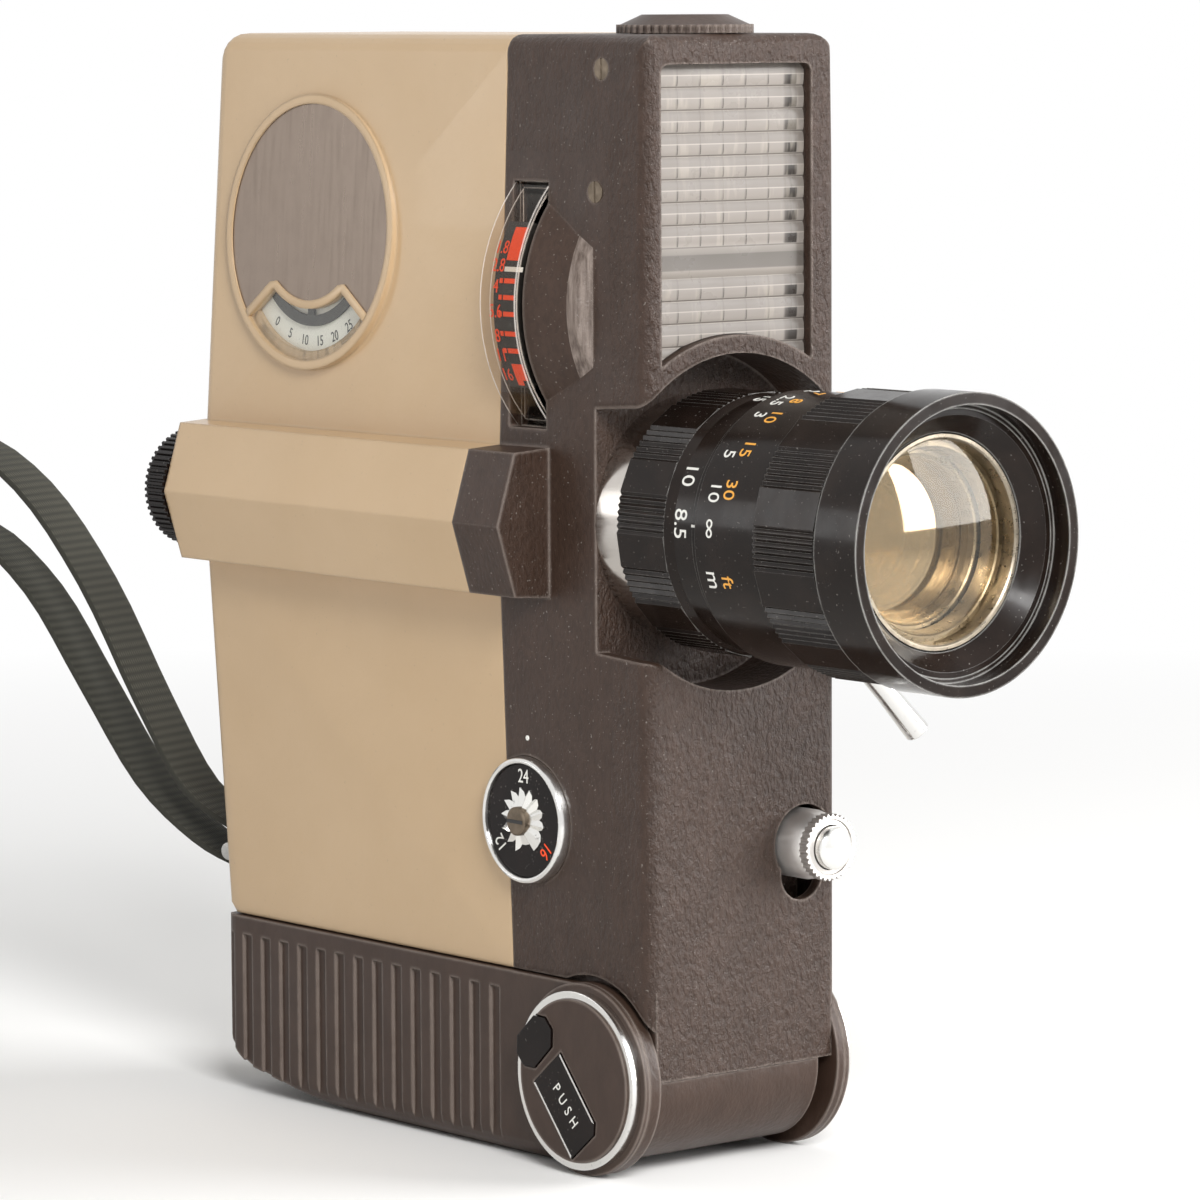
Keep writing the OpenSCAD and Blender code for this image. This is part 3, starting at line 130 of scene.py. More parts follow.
# a closed outline of (distance along the axis, radius) pairs spun round an axis
def turned(profile, centre, axis, steps=96):
    dropSelection()
    bpy.ops.mesh.primitive_plane_add(size=0.001, location=(0, 0, 0))
    o = bpy.context.object
    edit(o)
    bpy.ops.mesh.merge(type="CENTER")
    ax = Vector(axis).normalized()
    side = ax.orthogonal().normalized()
    pts = [(Vector(centre) + ax * a + side * r) * mm for a, r in profile]
    bpy.ops.transform.translate(value=pts[0])
    for a, b in zip(pts, pts[1:]):
        bpy.ops.mesh.extrude_vertices_move(TRANSFORM_OT_translate={"value": b - a})
    bpy.ops.mesh.select_all(action="SELECT")
    bpy.ops.mesh.remove_doubles(threshold=1e-7)
    if (pts[0] - pts[-1]).length > 1e-6 and profile[0][1] > 0 and profile[-1][1] > 0:
        bpy.ops.mesh.edge_face_add()
        bpy.ops.mesh.delete(type="ONLY_FACE")
    bpy.ops.mesh.select_all(action="SELECT")
    bpy.ops.mesh.spin(steps=steps, angle=2 * math.pi, center=Vector(centre) * mm, axis=ax)
    bpy.ops.mesh.select_all(action="SELECT")
    bpy.ops.mesh.remove_doubles(threshold=1e-6)
    bpy.ops.mesh.select_all(action="SELECT")
    bpy.ops.mesh.normals_make_consistent(inside=False)
    leave()
    return o


# flat outline pushed out along its normal: points are 3-D, in mm
def slab(points, push):
    dropSelection()
    bpy.ops.mesh.primitive_circle_add(vertices=len(points), radius=0.001, fill_type="NGON")
    o = bpy.context.object
    for v, p in zip(o.data.vertices, points):
        v.co = Vector(p) * mm
    edit(o)
    bpy.ops.mesh.extrude_region_move(TRANSFORM_OT_translate={"value": Vector(push) * mm})
    bpy.ops.mesh.select_all(action="SELECT")
    bpy.ops.mesh.normals_make_consistent(inside=False)
    leave()
    return o


def joined(parts):
    dropSelection()
    for p in parts:
        p.select_set(True)
    bpy.context.view_layer.objects.active = parts[0]
    if len(parts) > 1:
        bpy.ops.object.join()
    return bpy.context.object


# letters as a thin mesh: size is the height of a figure, place maps flat (x, y, depth) mm to the part
def figures(text, size, place, squeeze=1.0, depth=0.06, spacing=1.0):
    dropSelection()
    bpy.ops.object.text_add(location=(0, 0, 0))
    o = bpy.context.object
    o.data.body = text
    o.data.size = size * figureScale
    o.data.align_x, o.data.align_y = "CENTER", "CENTER"
    o.data.extrude = depth / 2
    o.data.space_character = spacing
    o.data.resolution_u = 4
    bpy.ops.object.convert(target="MESH")
    for v in o.data.vertices:
        v.co = Vector(place(v.co.x * squeeze, v.co.y, v.co.z)) * mm
    o.data.update()
    edit(o)
    bpy.ops.mesh.normals_make_consistent(inside=False)
    leave()
    return o


# on a ring about the lens axis: angle is up from the -X side, tops point to the front
def onRing(angle, y, radius):
    def place(x, up, d):
        a = math.radians(angle) - x / radius
        r = radius + d
        return (-r * math.cos(a), y - up, lensZ + r * math.sin(a))
    return place


# material helpers: a kit holds the material, its node tree, its shader and where it is looked up
def newMaterial(name, colour, rough, metal=0.0, bevel=0.0, coat=0.0, shine=0.5):
    m = bpy.data.materials.new(name)
    m.use_nodes = True
    nt = m.node_tree
    sh = nt.nodes["Principled BSDF"]
    sh.inputs["Base Color"].default_value = (*colour, 1)
    sh.inputs["Roughness"].default_value = rough
    sh.inputs["Metallic"].default_value = metal
    sh.inputs["Coat Weight"].default_value = coat
    sh.inputs["Specular IOR Level"].default_value = shine
    spot = nt.nodes.new("ShaderNodeTexCoord").outputs["Object"]
    kit = {"mat": m, "nt": nt, "sh": sh, "spot": spot, "normal": None}
    if bevel:
        b = nt.nodes.new("ShaderNodeBevel")
        b.samples = 4
        b.inputs["Radius"].default_value = bevel * mm
        kit["normal"] = b.outputs["Normal"]
        nt.links.new(b.outputs["Normal"], sh.inputs["Normal"])
    return kit


def noise(kit, scale, detail=3, rough=0.55, stretch=None, turn=None, distort=0.0):
    n = kit["nt"].nodes.new("ShaderNodeTexNoise")
    n.inputs["Scale"].default_value = scale
    n.inputs["Detail"].default_value = detail
    n.inputs["Roughness"].default_value = rough
    n.inputs["Distortion"].default_value = distort
    src = kit["spot"]
    if stretch or turn:
        mp = kit["nt"].nodes.new("ShaderNodeMapping")
        mp.inputs["Scale"].default_value = stretch or (1, 1, 1)
        mp.inputs["Rotation"].default_value = [math.radians(a) for a in (turn or (0, 0, 0))]
        kit["nt"].links.new(src, mp.inputs["Vector"])
        src = mp.outputs["Vector"]
    kit["nt"].links.new(src, n.inputs["Vector"])
    return n.outputs["Fac"]


def ramp(kit, source, stops):
    r = kit["nt"].nodes.new("ShaderNodeValToRGB")
    while len(r.color_ramp.elements) < len(stops):
        r.color_ramp.elements.new(0.5)
    for e, (pos, c) in zip(r.color_ramp.elements, stops):
        e.position = pos
        e.color = (c, c, c, 1) if not hasattr(c, "__len__") else (*c, 1)
    kit["nt"].links.new(source, r.inputs["Fac"])
    return r.outputs["Color"]


def blendColour(kit, mask, a, b):
    mx = kit["nt"].nodes.new("ShaderNodeMix")
    mx.data_type = "RGBA"
    if isinstance(mask, bpy.types.NodeSocket):
        kit["nt"].links.new(mask, mx.inputs["Factor"])
    else:
        mx.inputs["Factor"].default_value = mask
    for sock, val in ((mx.inputs[6], a), (mx.inputs[7], b)):
        if isinstance(val, bpy.types.NodeSocket):
            kit["nt"].links.new(val, sock)
        else:
            sock.default_value = (*val, 1)
    return mx.outputs[2]


def sums(kit, kind, a, b=None):
    n = kit["nt"].nodes.new("ShaderNodeMath")
    n.operation = kind
    for i, v in enumerate((a, b)):
        if isinstance(v, bpy.types.NodeSocket):
            kit["nt"].links.new(v, n.inputs[i])
        elif v is not None:
            n.inputs[i].default_value = v
    return n.outputs["Value"]


def bump(kit, height, strength, distance):
    b = kit["nt"].nodes.new("ShaderNodeBump")
    b.inputs["Strength"].default_value = strength
    b.inputs["Distance"].default_value = distance * mm
    kit["nt"].links.new(height, b.inputs["Height"])
    if kit["normal"]:
        kit["nt"].links.new(kit["normal"], b.inputs["Normal"])
    kit["normal"] = b.outputs["Normal"]
    kit["nt"].links.new(b.outputs["Normal"], kit["sh"].inputs["Normal"])


# 0 on flats, up to 1 on outside edges, in patches; used for worn edges and for painted edge highlights
def edgeMask(kit, radius, low=0.02, high=0.16):
    bv = kit["nt"].nodes.new("ShaderNodeBevel")
    bv.samples = 6
    bv.inputs["Radius"].default_value = radius * mm
    geo = kit["nt"].nodes.new("ShaderNodeNewGeometry")
    dot = kit["nt"].nodes.new("ShaderNodeVectorMath")
    dot.operation = "DOT_PRODUCT"
    kit["nt"].links.new(bv.outputs["Normal"], dot.inputs[0])
    kit["nt"].links.new(geo.outputs["Normal"], dot.inputs[1])
    away = sums(kit, "SUBTRACT", 1.0, dot.outputs["Value"])
    patch = noise(kit, 320, 4)
    patchy = sums(kit, "MULTIPLY", away, sums(kit, "MULTIPLY", patch, 2.0))
    return ramp(kit, patchy, [(low, 0.0), (high, 1.0)])


# the tint, mottled with a share of itself
def mottle(kit, source, low, high, tint, share):
    colour(kit, mottled(kit, source, low, high, tint, share))


def mottled(kit, source, low, high, tint, share):
    return blendColour(kit, ramp(kit, source, [(low, 0.0), (high, 1.0)]), tint, tuple(c * share for c in tint))


def roughness(kit, source, low, high):
    kit["nt"].links.new(ramp(kit, source, [(0.3, low), (0.7, high)]), kit["sh"].inputs["Roughness"])


def colour(kit, source):
    kit["nt"].links.new(source, kit["sh"].inputs["Base Color"])


finish = {
    # pit is painted shade for the hollows of the grain
    "wrinkle": {"dark": (0.039, 0.0222, 0.0152), "pale": (0.049, 0.0285, 0.0202), "pit": (0.0195, 0.011, 0.0075),
                # edge is the pale of worn edges and of painted highlights on edges and on the front-facing slope
                "edge": (0.27, 0.22, 0.19), "fleck": (0.3, 0.27, 0.24), "nose": -19.2,
                "rubAndSheen": (("X", -30, -18.8), ("Y", -45, -40), ("Z", 124, 150))},
    "enamel": {"base": (0.53, 0.378, 0.225), "warm": (0.49, 0.343, 0.197), "dirt": (0.2, 0.15, 0.1),
               "speck": (0.34, 0.26, 0.17)},
    "orange": (0.9, 0.07, 0.005),
    "amber": (0.85, 0.4, 0.06),
    "white": (0.78, 0.77, 0.72),
}


def wrinkleBlack(name="wrinkleBlack", strength=0.9, fleck=True, pits=0.3, bevel=1.2):
    f = finish["wrinkle"]
    k = newMaterial(name, f["dark"], 0.42, bevel=bevel, shine=0.3)
    cloud = noise(k, 260, 3, stretch=(1, 1, 0.6))
    base = blendColour(k, ramp(k, cloud, [(0.35, 0.0), (0.7, 1.0)]), f["dark"], f["pale"])
    grain = noise(k, 1250, 2, 0.5, stretch=(1, 1, 0.6), turn=(0, 32, 0), distort=0.3)
    # the grain's hollows, where the bump is low, are painted darker: painted shade
    hollows = ramp(k, grain, [(0.38, 1.0), (0.55, 0.0)])
    base = blendColour(k, sums(k, "MULTIPLY", hollows, pits), base, f["pit"])
    # outside edges are painted pale: partly worn paint, partly a painted highlight on the rounded edges
    paleEdge = edgeMask(k, 1.0, 0.04, 0.2)
    base = blendColour(k, sums(k, "MULTIPLY", paleEdge, 0.7), base, f["edge"])
    if fleck:
        dots = ramp(k, noise(k, 2600, 1, 0.3), [(0.73, 0.0), (0.77, 1.0)])
        base = blendColour(k, sums(k, "MULTIPLY", dots, 0.5), base, f["fleck"])
    side = k["nt"].nodes.new("ShaderNodeNewGeometry")
    faces = k["nt"].nodes.new("ShaderNodeSeparateXYZ")
    k["nt"].links.new(side.outputs["Normal"], faces.inputs["Vector"])
    part = k["nt"].nodes.new("ShaderNodeSeparateXYZ")
    k["nt"].links.new(k["spot"], part.inputs["Vector"])
    if fleck:  # the slope in front of the exposure scale, where it faces the front, is painted paler: rubbed paint and a painted sheen
        rubbedAndLit = sums(k, "LESS_THAN", faces.outputs["Y"], -0.2)
        for axis, low, high in f["rubAndSheen"]:
            above = sums(k, "GREATER_THAN", part.outputs[axis], low * mm)
            under = sums(k, "LESS_THAN", part.outputs[axis], high * mm)
            rubbedAndLit = sums(k, "MULTIPLY", rubbedAndLit, sums(k, "MULTIPLY", above, under))
        streaks = ramp(k, noise(k, 500, 3, 0.6, stretch=(2.5, 2.5, 0.25)), [(0.35, 0.2), (0.65, 0.8)])
        base = blendColour(k, sums(k, "MULTIPLY", rubbedAndLit, streaks), base, f["edge"])
    colour(k, base)
    # the front face is pebbly, and the sides and the finder nose are finer
    pebbly = ramp(k, sums(k, "ABSOLUTE", faces.outputs["Y"], 0.0), [(0.5, 0.35), (0.9, 1.0)])
    nose = sums(k, "LESS_THAN", part.outputs["X"], f["nose"] * mm)
    pebbly = sums(k, "MULTIPLY", pebbly, sums(k, "SUBTRACT", 1.0, sums(k, "MULTIPLY", nose, 0.65)))
    fine = noise(k, 3400, 2, 0.6)
    both = sums(k, "MULTIPLY", sums(k, "ADD", grain, sums(k, "MULTIPLY", fine, 0.3)), pebbly)
    bump(k, both, strength, 0.7)
    roughness(k, noise(k, 90, 3), 0.36, 0.5)
    return k["mat"]


def beigeEnamel():
    f = finish["enamel"]
    k = newMaterial("beigeEnamel", f["base"], 0.36, bevel=0.8, coat=0.15)
    base = blendColour(k, ramp(k, noise(k, 28, 4), [(0.35, 0.0), (0.7, 1.0)]), f["base"], f["warm"])
    chips = ramp(k, noise(k, 140, 5, 0.75), [(0.735, 0.0), (0.745, 1.0)])
    base = blendColour(k, sums(k, "MULTIPLY", chips, 0.8), base, f["dirt"])
    specks = ramp(k, noise(k, 1500, 1), [(0.74, 0.0), (0.78, 1.0)])
    base = blendColour(k, sums(k, "MULTIPLY", specks, 0.35), base, f["speck"])
    colour(k, base)
    bump(k, noise(k, 620, 2, 0.5), 0.14, 0.25)
    roughness(k, noise(k, 60, 4), 0.28, 0.42)
    return k["mat"]


def chromePlate(name="chromePlate", rough=0.12, tint=(0.76, 0.75, 0.73), bevel=0.25):
    k = newMaterial(name, tint, rough, metal=1.0, bevel=bevel)
    roughness(k, noise(k, 420, 5, 0.7), rough * 0.6, rough * 1.9)
    mottle(k, noise(k, 900, 4, 0.7), 0.62, 0.72, tint, 0.62)
    bump(k, noise(k, 1800, 2, stretch=(1, 1, 0.1)), 0.03, 0.05)
    return k["mat"]


def satinAlloy(name="satinAlloy", tint=(0.74, 0.73, 0.71), rough=0.28, spread=0.8, stretch=(0.06, 1, 1)):
    k = newMaterial(name, tint, rough, metal=1.0, bevel=0.2)
    lines = noise(k, 900, 3, stretch=stretch)
    roughness(k, lines, rough * 0.7, rough * 1.3)
    mottle(k, noise(k, 240, 5, 0.7), 0.45, 0.75, tint, spread)
    bump(k, lines, 0.05, 0.05)
    return k["mat"]


def glossBlack(name="lensBlack", tint=(0.01, 0.0065, 0.005), rough=0.15, paleEdge=0.5, bevel=0.15, coat=0.04,
               shine=0.16, wear=0.22):
    k = newMaterial(name, tint, rough, bevel=bevel, coat=coat, shine=shine)
    k["sh"].inputs["Coat Roughness"].default_value = 0.06
    base = mottled(k, noise(k, 160, 4), 0.4, 0.75, tint, 1.8)
    dust = ramp(k, noise(k, 2200, 1), [(0.735, 0.0), (0.76, 1.0)])
    base = blendColour(k, sums(k, "MULTIPLY", dust, 0.5), base, (0.26, 0.24, 0.22))
    if paleEdge:
        bare = sums(k, "MULTIPLY", edgeMask(k, wear, 0.05, 0.3), paleEdge)
        base = blendColour(k, bare, base, (0.4, 0.39, 0.37))
    colour(k, base)
    roughness(k, noise(k, 130, 5, 0.65), rough * 0.7, rough * 1.8)
    return k["mat"]


def plainDark(name, tint=(0.012, 0.012, 0.012), rough=0.6):
    k = newMaterial(name, tint, rough, bevel=0.15)
    mottle(k, noise(k, 300, 4), 0.4, 0.7, tint, 1.8)
    bump(k, noise(k, 2400, 2), 0.12, 0.08)
    return k["mat"]


def clearPlastic():
    k = newMaterial("clearPlastic", (0.97, 0.97, 0.96), 0.03)
    k["sh"].inputs["Transmission Weight"].default_value = 1.0
    k["sh"].inputs["IOR"].default_value = 1.46
    bump(k, noise(k, 260, 3), 0.03, 0.08)
    return k["mat"]


def printed(name, tint):
    k = newMaterial(name, tint, 0.5)
    mottle(k, noise(k, 2600, 3, 0.7), 0.6, 0.74, tint, 0.6)
    bump(k, noise(k, 3000, 2), 0.08, 0.03)
    return k["mat"]


def warmMetal(name, tint, rough=0.3):
    k = newMaterial(name, tint, rough, metal=1.0, bevel=0.15)
    mottle(k, noise(k, 380, 5, 0.7), 0.35, 0.75, tint, 0.55)
    roughness(k, noise(k, 700, 4), rough * 0.7, rough * 1.5)
    bump(k, noise(k, 1500, 2, stretch=(0.1, 1, 1)), 0.06, 0.05)
    return k["mat"]


matWrinkle = wrinkleBlack()
matSmooth = wrinkleBlack("smoothBlack", strength=0.22, fleck=False, pits=0.1, bevel=0.6)
matEnamel = beigeEnamel()
matChrome = chromePlate()
matAlloy = satinAlloy()
matPlate = satinAlloy("nameplateAlloy", (0.21, 0.168, 0.138), 0.36, 0.93, (1, 1, 0.03))
matMount = satinAlloy("mountAlloy", (0.6, 0.56, 0.52), 0.16, 0.95, (1, 0.05, 1))
matLens = glossBlack()
matRim = glossBlack("rimBlack", paleEdge=0.95, bevel=0.3, wear=0.7)
matGloss = glossBlack("blackPlastic", (0.006, 0.0035, 0.003), 0.12, paleEdge=0.0, coat=0.0, shine=0.2)
matDark = plainDark("innerBlack")
matClear = clearPlastic()
matWhite = printed("whitePaint", finish["white"])
matOrange = printed("orangePaint", finish["orange"])
matAmber = printed("amberPaint", finish["amber"])
matBrass = warmMetal("turnedBrass", (0.7, 0.55, 0.28))
matSteel = warmMetal("plainSteel", (0.52, 0.51, 0.49), 0.32)
matScrew = warmMetal("oldScrew", (0.2, 0.16, 0.12), 0.45)
matSpool = plainDark("spoolBlack", (0.03, 0.03, 0.032), 0.42)
print("materials made")

# a finish for every solid; a few are replaced by finer pieces further down
solids = {
    "front_casting": matWrinkle, "mechanism_cover": matEnamel, "film_door": matEnamel, "main_plate": matSteel,
    "base_frame": matSmooth, "handle_shell": matSmooth, "handle_liner": matDark, "left_cap": matSmooth,
    "right_cap": matSmooth, "cap_rings": matChrome, "push_button": matGloss, "lock_button": matGloss,
    "handle_axle": matSteel, "tripod_bush": matBrass, "meter_window": matClear, "meter_cell": matDark,
    "meter_movement": matDark, "exposure_scale": matDark, "scale_window": matClear, "nameplate": matPlate,
    "counter_dial": matWhite, "counter_pointer": matDark, "counter_window": matClear, "finder_tube": matDark,
    "beam_prism": matClear, "finder_mirror": matChrome, "eyepiece_ring": matGloss, "eyepiece_lens": matClear,
    "lens_mount": matMount, "lens_barrel": matDark, "zoom_ring": matLens, "zoom_lever": matChrome,
    "index_ring": matLens, "focus_helicoid": matBrass, "focus_ring": matLens, "front_rim": matRim,
    "name_ring": matLens, "front_lens": matClear, "zoom_group": matDark, "rear_lens": matClear, "iris": matSteel,
    "release_sleeve": matAlloy, "release_collar": matAlloy, "release_button": matAlloy, "speed_bezel": matChrome,
    "speed_dial": matGloss, "speed_knob": matChrome, "film_speed_wheel": matSmooth, "film_gate": matSteel,
    "pressure_plate": matSteel, "supply_spool": matSpool, "takeup_spool": matSpool, "spring_barrel": matBrass,
    "drive_gear": matBrass, "shutter_disc": matDark, "door_pins": matSteel, "door_latch": matChrome,
    "case_screws": matScrew, "strap_lug": matSteel,
}
for name, mat in solids.items():
    nodes[name].data.materials[0] = mat
print("solids finished")

# numbers round the lens: place along y, radius, height, and each figure with its angle
lensMarks = {
    "zoom": {"y": -64.3, "r": 20.22, "size": 2.9,
             "at": (("8.5", 4.5), ("10", 26.6), ("15", 82), ("25", 151))},
    "metres": {"y": -72.5, "r": 21.42, "size": 2.5,
               "at": (("∞", 4), ("10", 19.2), ("5", 36.2), ("3", 58.9), ("2.5", 72), ("2", 89), ("1.7", 107),
                      ("1.5", 125))},
    "feet": {"y": -75.8, "r": 21.42, "size": 2.5,
             "at": (("30", 20.7), ("15", 39.6), ("10", 58.4), ("8", 72), ("7", 84), ("6", 98), ("5", 120))},
}


def markRing(kind, body, name, material, extra=()):
    m = lensMarks[kind]
    parts = [figures(t, m["size"], onRing(a, m["y"], m["r"])) for t, a in m["at"]]
    parts += [figures(t, s, onRing(a, y, m["r"])) for t, a, y, s in extra]
    return dress(joined(parts), name, body, material)


markRing("zoom", "zoom", "zoomNumbers", matWhite)
markRing("metres", "focus", "metreNumbers", matWhite, extra=(("m", -17.6, -72.3, 2.9),))
markRing("feet", "focus", "feetNumbers", matAmber, extra=(("ft", -17.9, -75.6, 2.6),))
indexMark = brick(-20.5, -20.38, -69, -67.4, lensZ + 1.3, lensZ + 1.7)
dress(indexMark, "indexLine", "camera", matWhite)
print("lens marks set")

# the ribbed meter window: rows of ribs above and below a flat band
meterWindow = {"left": -15.6, "right": 15.35, "top": 174.6, "back": -51.2, "front": -52.9, "swell": 0.35,
               "pitch": 3.55, "rowsAbove": 8, "band": 1.3, "rowsBelow": 4, "lowRadius": 29.45, "column": 4.7,
               "steps": 8, "flat": 0.25}


def windowMaterial():
    w = meterWindow
    k = newMaterial("ribbedWindow", (0.4, 0.35, 0.31), 0.3, shine=0.2)
    part = k["nt"].nodes.new("ShaderNodeSeparateXYZ")
    k["nt"].links.new(k["spot"], part.inputs["Vector"])
    fall = sums(k, "DIVIDE", sums(k, "SUBTRACT", w["top"] * mm, part.outputs["Z"]), w["pitch"] * mm)
    low = w["rowsAbove"] + w["band"]
    below = sums(k, "GREATER_THAN", fall, low)
    inBand = sums(k, "MULTIPLY", sums(k, "GREATER_THAN", fall, w["rowsAbove"]), sums(k, "LESS_THAN", fall, low))
    row = sums(k, "FRACT", sums(k, "SUBTRACT", fall, sums(k, "MULTIPLY", below, w["band"])))
    # each row: a light top edge (painted highlight), a plain upper half, a light line (painted highlight), a paler
    # lower half with upright lines and a dark right end, and a dark foot (painted shade between the ribs)
    tone = ramp(k, row, [(0.0, (0.33, 0.3, 0.27)), (0.05, (0.2, 0.18, 0.162)), (0.42, (0.225, 0.203, 0.183)),
                         (0.46, (0.44, 0.4, 0.36)), (0.5, (0.28, 0.254, 0.23)), (0.92, (0.33, 0.298, 0.27)),
                         (0.97, (0.1, 0.09, 0.08)), (1.0, (0.3, 0.27, 0.24))])
    inside = sums(k, "SUBTRACT", part.outputs["X"], w["left"] * mm)
    wide = sums(k, "DIVIDE", inside, (w["right"] - w["left"]) * mm)
    across = sums(k, "FRACT", sums(k, "DIVIDE", inside, w["column"] * mm))
    lines = ramp(k, across, [(0.0, 1.0), (0.025, 1.0), (0.045, 0.0), (0.95, 0.0), (0.97, 0.6), (0.99, 0.0)])
    lower = ramp(k, row, [(0.47, 0.25), (0.5, 1.0), (0.9, 1.0), (0.94, 0.0)])
    lower = sums(k, "MULTIPLY", lower, sums(k, "SUBTRACT", 1.0, inBand))
    tone = blendColour(k, sums(k, "MULTIPLY", lines, lower), tone, (0.07, 0.063, 0.057))
    end = ramp(k, wide, [(0.86, 0.0), (0.875, 0.75), (0.9, 1.0), (0.95, 1.0), (0.955, 0.0)])
    tone = blendColour(k, sums(k, "MULTIPLY", end, lower), tone, (0.025, 0.022, 0.02))
    # the flat band is painted with shade in its middle and painted highlights along its top and bottom
    depth = sums(k, "DIVIDE", sums(k, "SUBTRACT", fall, w["rowsAbove"]), w["band"])
    bandTone = ramp(k, depth, [(0.0, (0.26, 0.236, 0.21)), (0.2, (0.22, 0.2, 0.18)), (0.24, (0.13, 0.118, 0.106)),
                               (0.72, (0.15, 0.136, 0.122)), (0.76, (0.3, 0.27, 0.24)), (1.0, (0.27, 0.243, 0.216))])
    tone = blendColour(k, inBand, tone, bandTone)
    # pale patches in the lower half of each row are painted glints
    glow = ramp(k, noise(k, 90, 3, 0.6, stretch=(3.5, 1, 0.6)), [(0.56, 0.0), (0.62, 1.0)])
    glow = sums(k, "MULTIPLY", glow, lower)
    tone = blendColour(k, sums(k, "MULTIPLY", glow, 0.3), tone, (0.5, 0.45, 0.38))
    colour(k, blendColour(k, 0.25, tone, (0.06, 0.045, 0.035)))
    roughness(k, noise(k, 200, 4), 0.24, 0.4)
    return k["mat"]


# a round hole along y
def cutRound(obj, radius, x, y, z, length, sides):
    dropSelection()
    bpy.ops.mesh.primitive_cylinder_add(vertices=sides, radius=radius * mm, depth=length * mm,
                                        location=(x * mm, y * mm, z * mm), rotation=(math.pi / 2, 0, 0))
    cutter = bpy.context.object
    pick(obj)
    m = obj.modifiers.new("cut", "BOOLEAN")
    m.object, m.operation, m.solver = cutter, "DIFFERENCE", "EXACT"
    bpy.ops.object.modifier_apply(modifier="cut")
    bpy.data.objects.remove(cutter)


def makeMeterWindow():
    w = meterWindow
    edge = []
    z = w["top"]
    for kind, count in (("rib", w["rowsAbove"]), ("flat", 1), ("rib", w["rowsBelow"])):
        for _ in range(count):
            tall = w["pitch"] * (w["band"] if kind == "flat" else 1)
            for t in range(w["steps"]):
                out = w["swell"] * math.sqrt(1 - (2 * t / w["steps"] - 1) ** 2) if kind == "rib" else w["flat"]
                edge.append((w["left"], w["front"] - out, z - tall * t / w["steps"]))
            z -= tall
    edge.append((w["left"], w["front"], z))
    o = slab([(w["left"], w["back"], z), (w["left"], w["back"], w["top"])] + edge, (w["right"] - w["left"], 0, 0))
    cutRound(o, w["lowRadius"], 0, -52, lensZ, 8, 160)
    smoothEdges(o, 26)
    dress(o, "ribbedWindow", "camera", windowMaterial(), ("meter_window",))


makeMeterWindow()
print("meter window made")

# the exposure scale: orange numbers, ticks and blocks on a drum
exposure = {"x": 1.75, "z": 137, "drum": 26.5, "size": 2.2, "numbersY": -25.4, "tickHalf": 0.38,
            "numbers": (("1.8", 146.0), ("2.8", 143.2), ("4", 139.9), ("5.6", 136.0), ("8", 132.1), ("11", 129.0),
                        ("16", 125.9)),
            "ticks": (140.9, 138.3, 135.7, 132.6, 129.9), "tickSpans": ((-30.2, -27.4), (-27.0, -26.3)),
            "blocks": ((144.1, 149.2, -30.3, -27.2), (125.2, 127.8, -30.2, -27.4), (124.4, 125.2, -28.8, -27.4))}


def onDrum(z, y, radius):
    def place(x, up, d):
        a = math.asin((z - exposure["z"]) / radius) + up / radius
        return (exposure["x"] - (radius + d) * math.cos(a), y - x, exposure["z"] + (radius + d) * math.sin(a))
    return place


def drumPatch(z0, z1, y0, y1, radius, thick=0.08, steps=6):
    put = onDrum(exposure["z"], 0, radius)
    a0, a1 = (math.asin((z - exposure["z"]) / radius) * radius for z in (z0, z1))
    ups = [a0 + (a1 - a0) * i / steps for i in range(steps + 1)]
    rim = [put(-y0, u, 0) for u in ups] + [put(-y0, u, thick) for u in reversed(ups)]
    return slab(rim, (0, y1 - y0, 0))


def makeExposure():
    e = exposure
    r = e["drum"] + 0.05
    parts = [figures(t, e["size"], onDrum(z, e["numbersY"], r), squeeze=0.85) for t, z in e["numbers"]]
    half = e["tickHalf"]
    parts += [drumPatch(z - half, z + half, y0, y1, r) for y0, y1 in e["tickSpans"] for z in e["ticks"]]
    parts += [drumPatch(*block, r) for block in e["blocks"]]
    dress(joined(parts), "exposureMarks", "exposure_scale", matOrange)
    mark = drumPatch(142.35, 143.1, -31.8, -27.4, e["drum"] + 0.22, 0.12)
    dress(mark, "exposureIndex", "camera", matWhite)


makeExposure()
print("exposure scale made")

# the counter below the nameplate
plate = {"x": -20.565, "y": 27.8, "z": 146.775, "tilt": 3.84, "fan": 22.1, "edge": 1.15, "lip": 0.2, "under": -0.6,
         "over": 0.95, "dial": -1.06, "rows": (("metres", 11.6, 1.55), ("feet", 17.9, 1.75)),
         "ends": (("S", -43), ("E", 43)),
         "metres": ("0", "1.5", "3", "4.5", "6", "7.5"), "feet": ("0", "5", "10", "15", "20", "25"), "sweep": 33}


def onPlate(right, up, out):
    t = math.radians(plate["tilt"])
    return (plate["x"] - out * math.cos(t) + up * math.sin(t), plate["y"] - right,
            plate["z"] + out * math.sin(t) + up * math.cos(t))


def onFan(angle, radius):
    def place(x, up, d):
        a = math.radians(angle)
        r = radius - up
        return onPlate(r * math.sin(a) + x * math.cos(a), -r * math.cos(a) + x * math.sin(a), plate["dial"] + d)
    return place


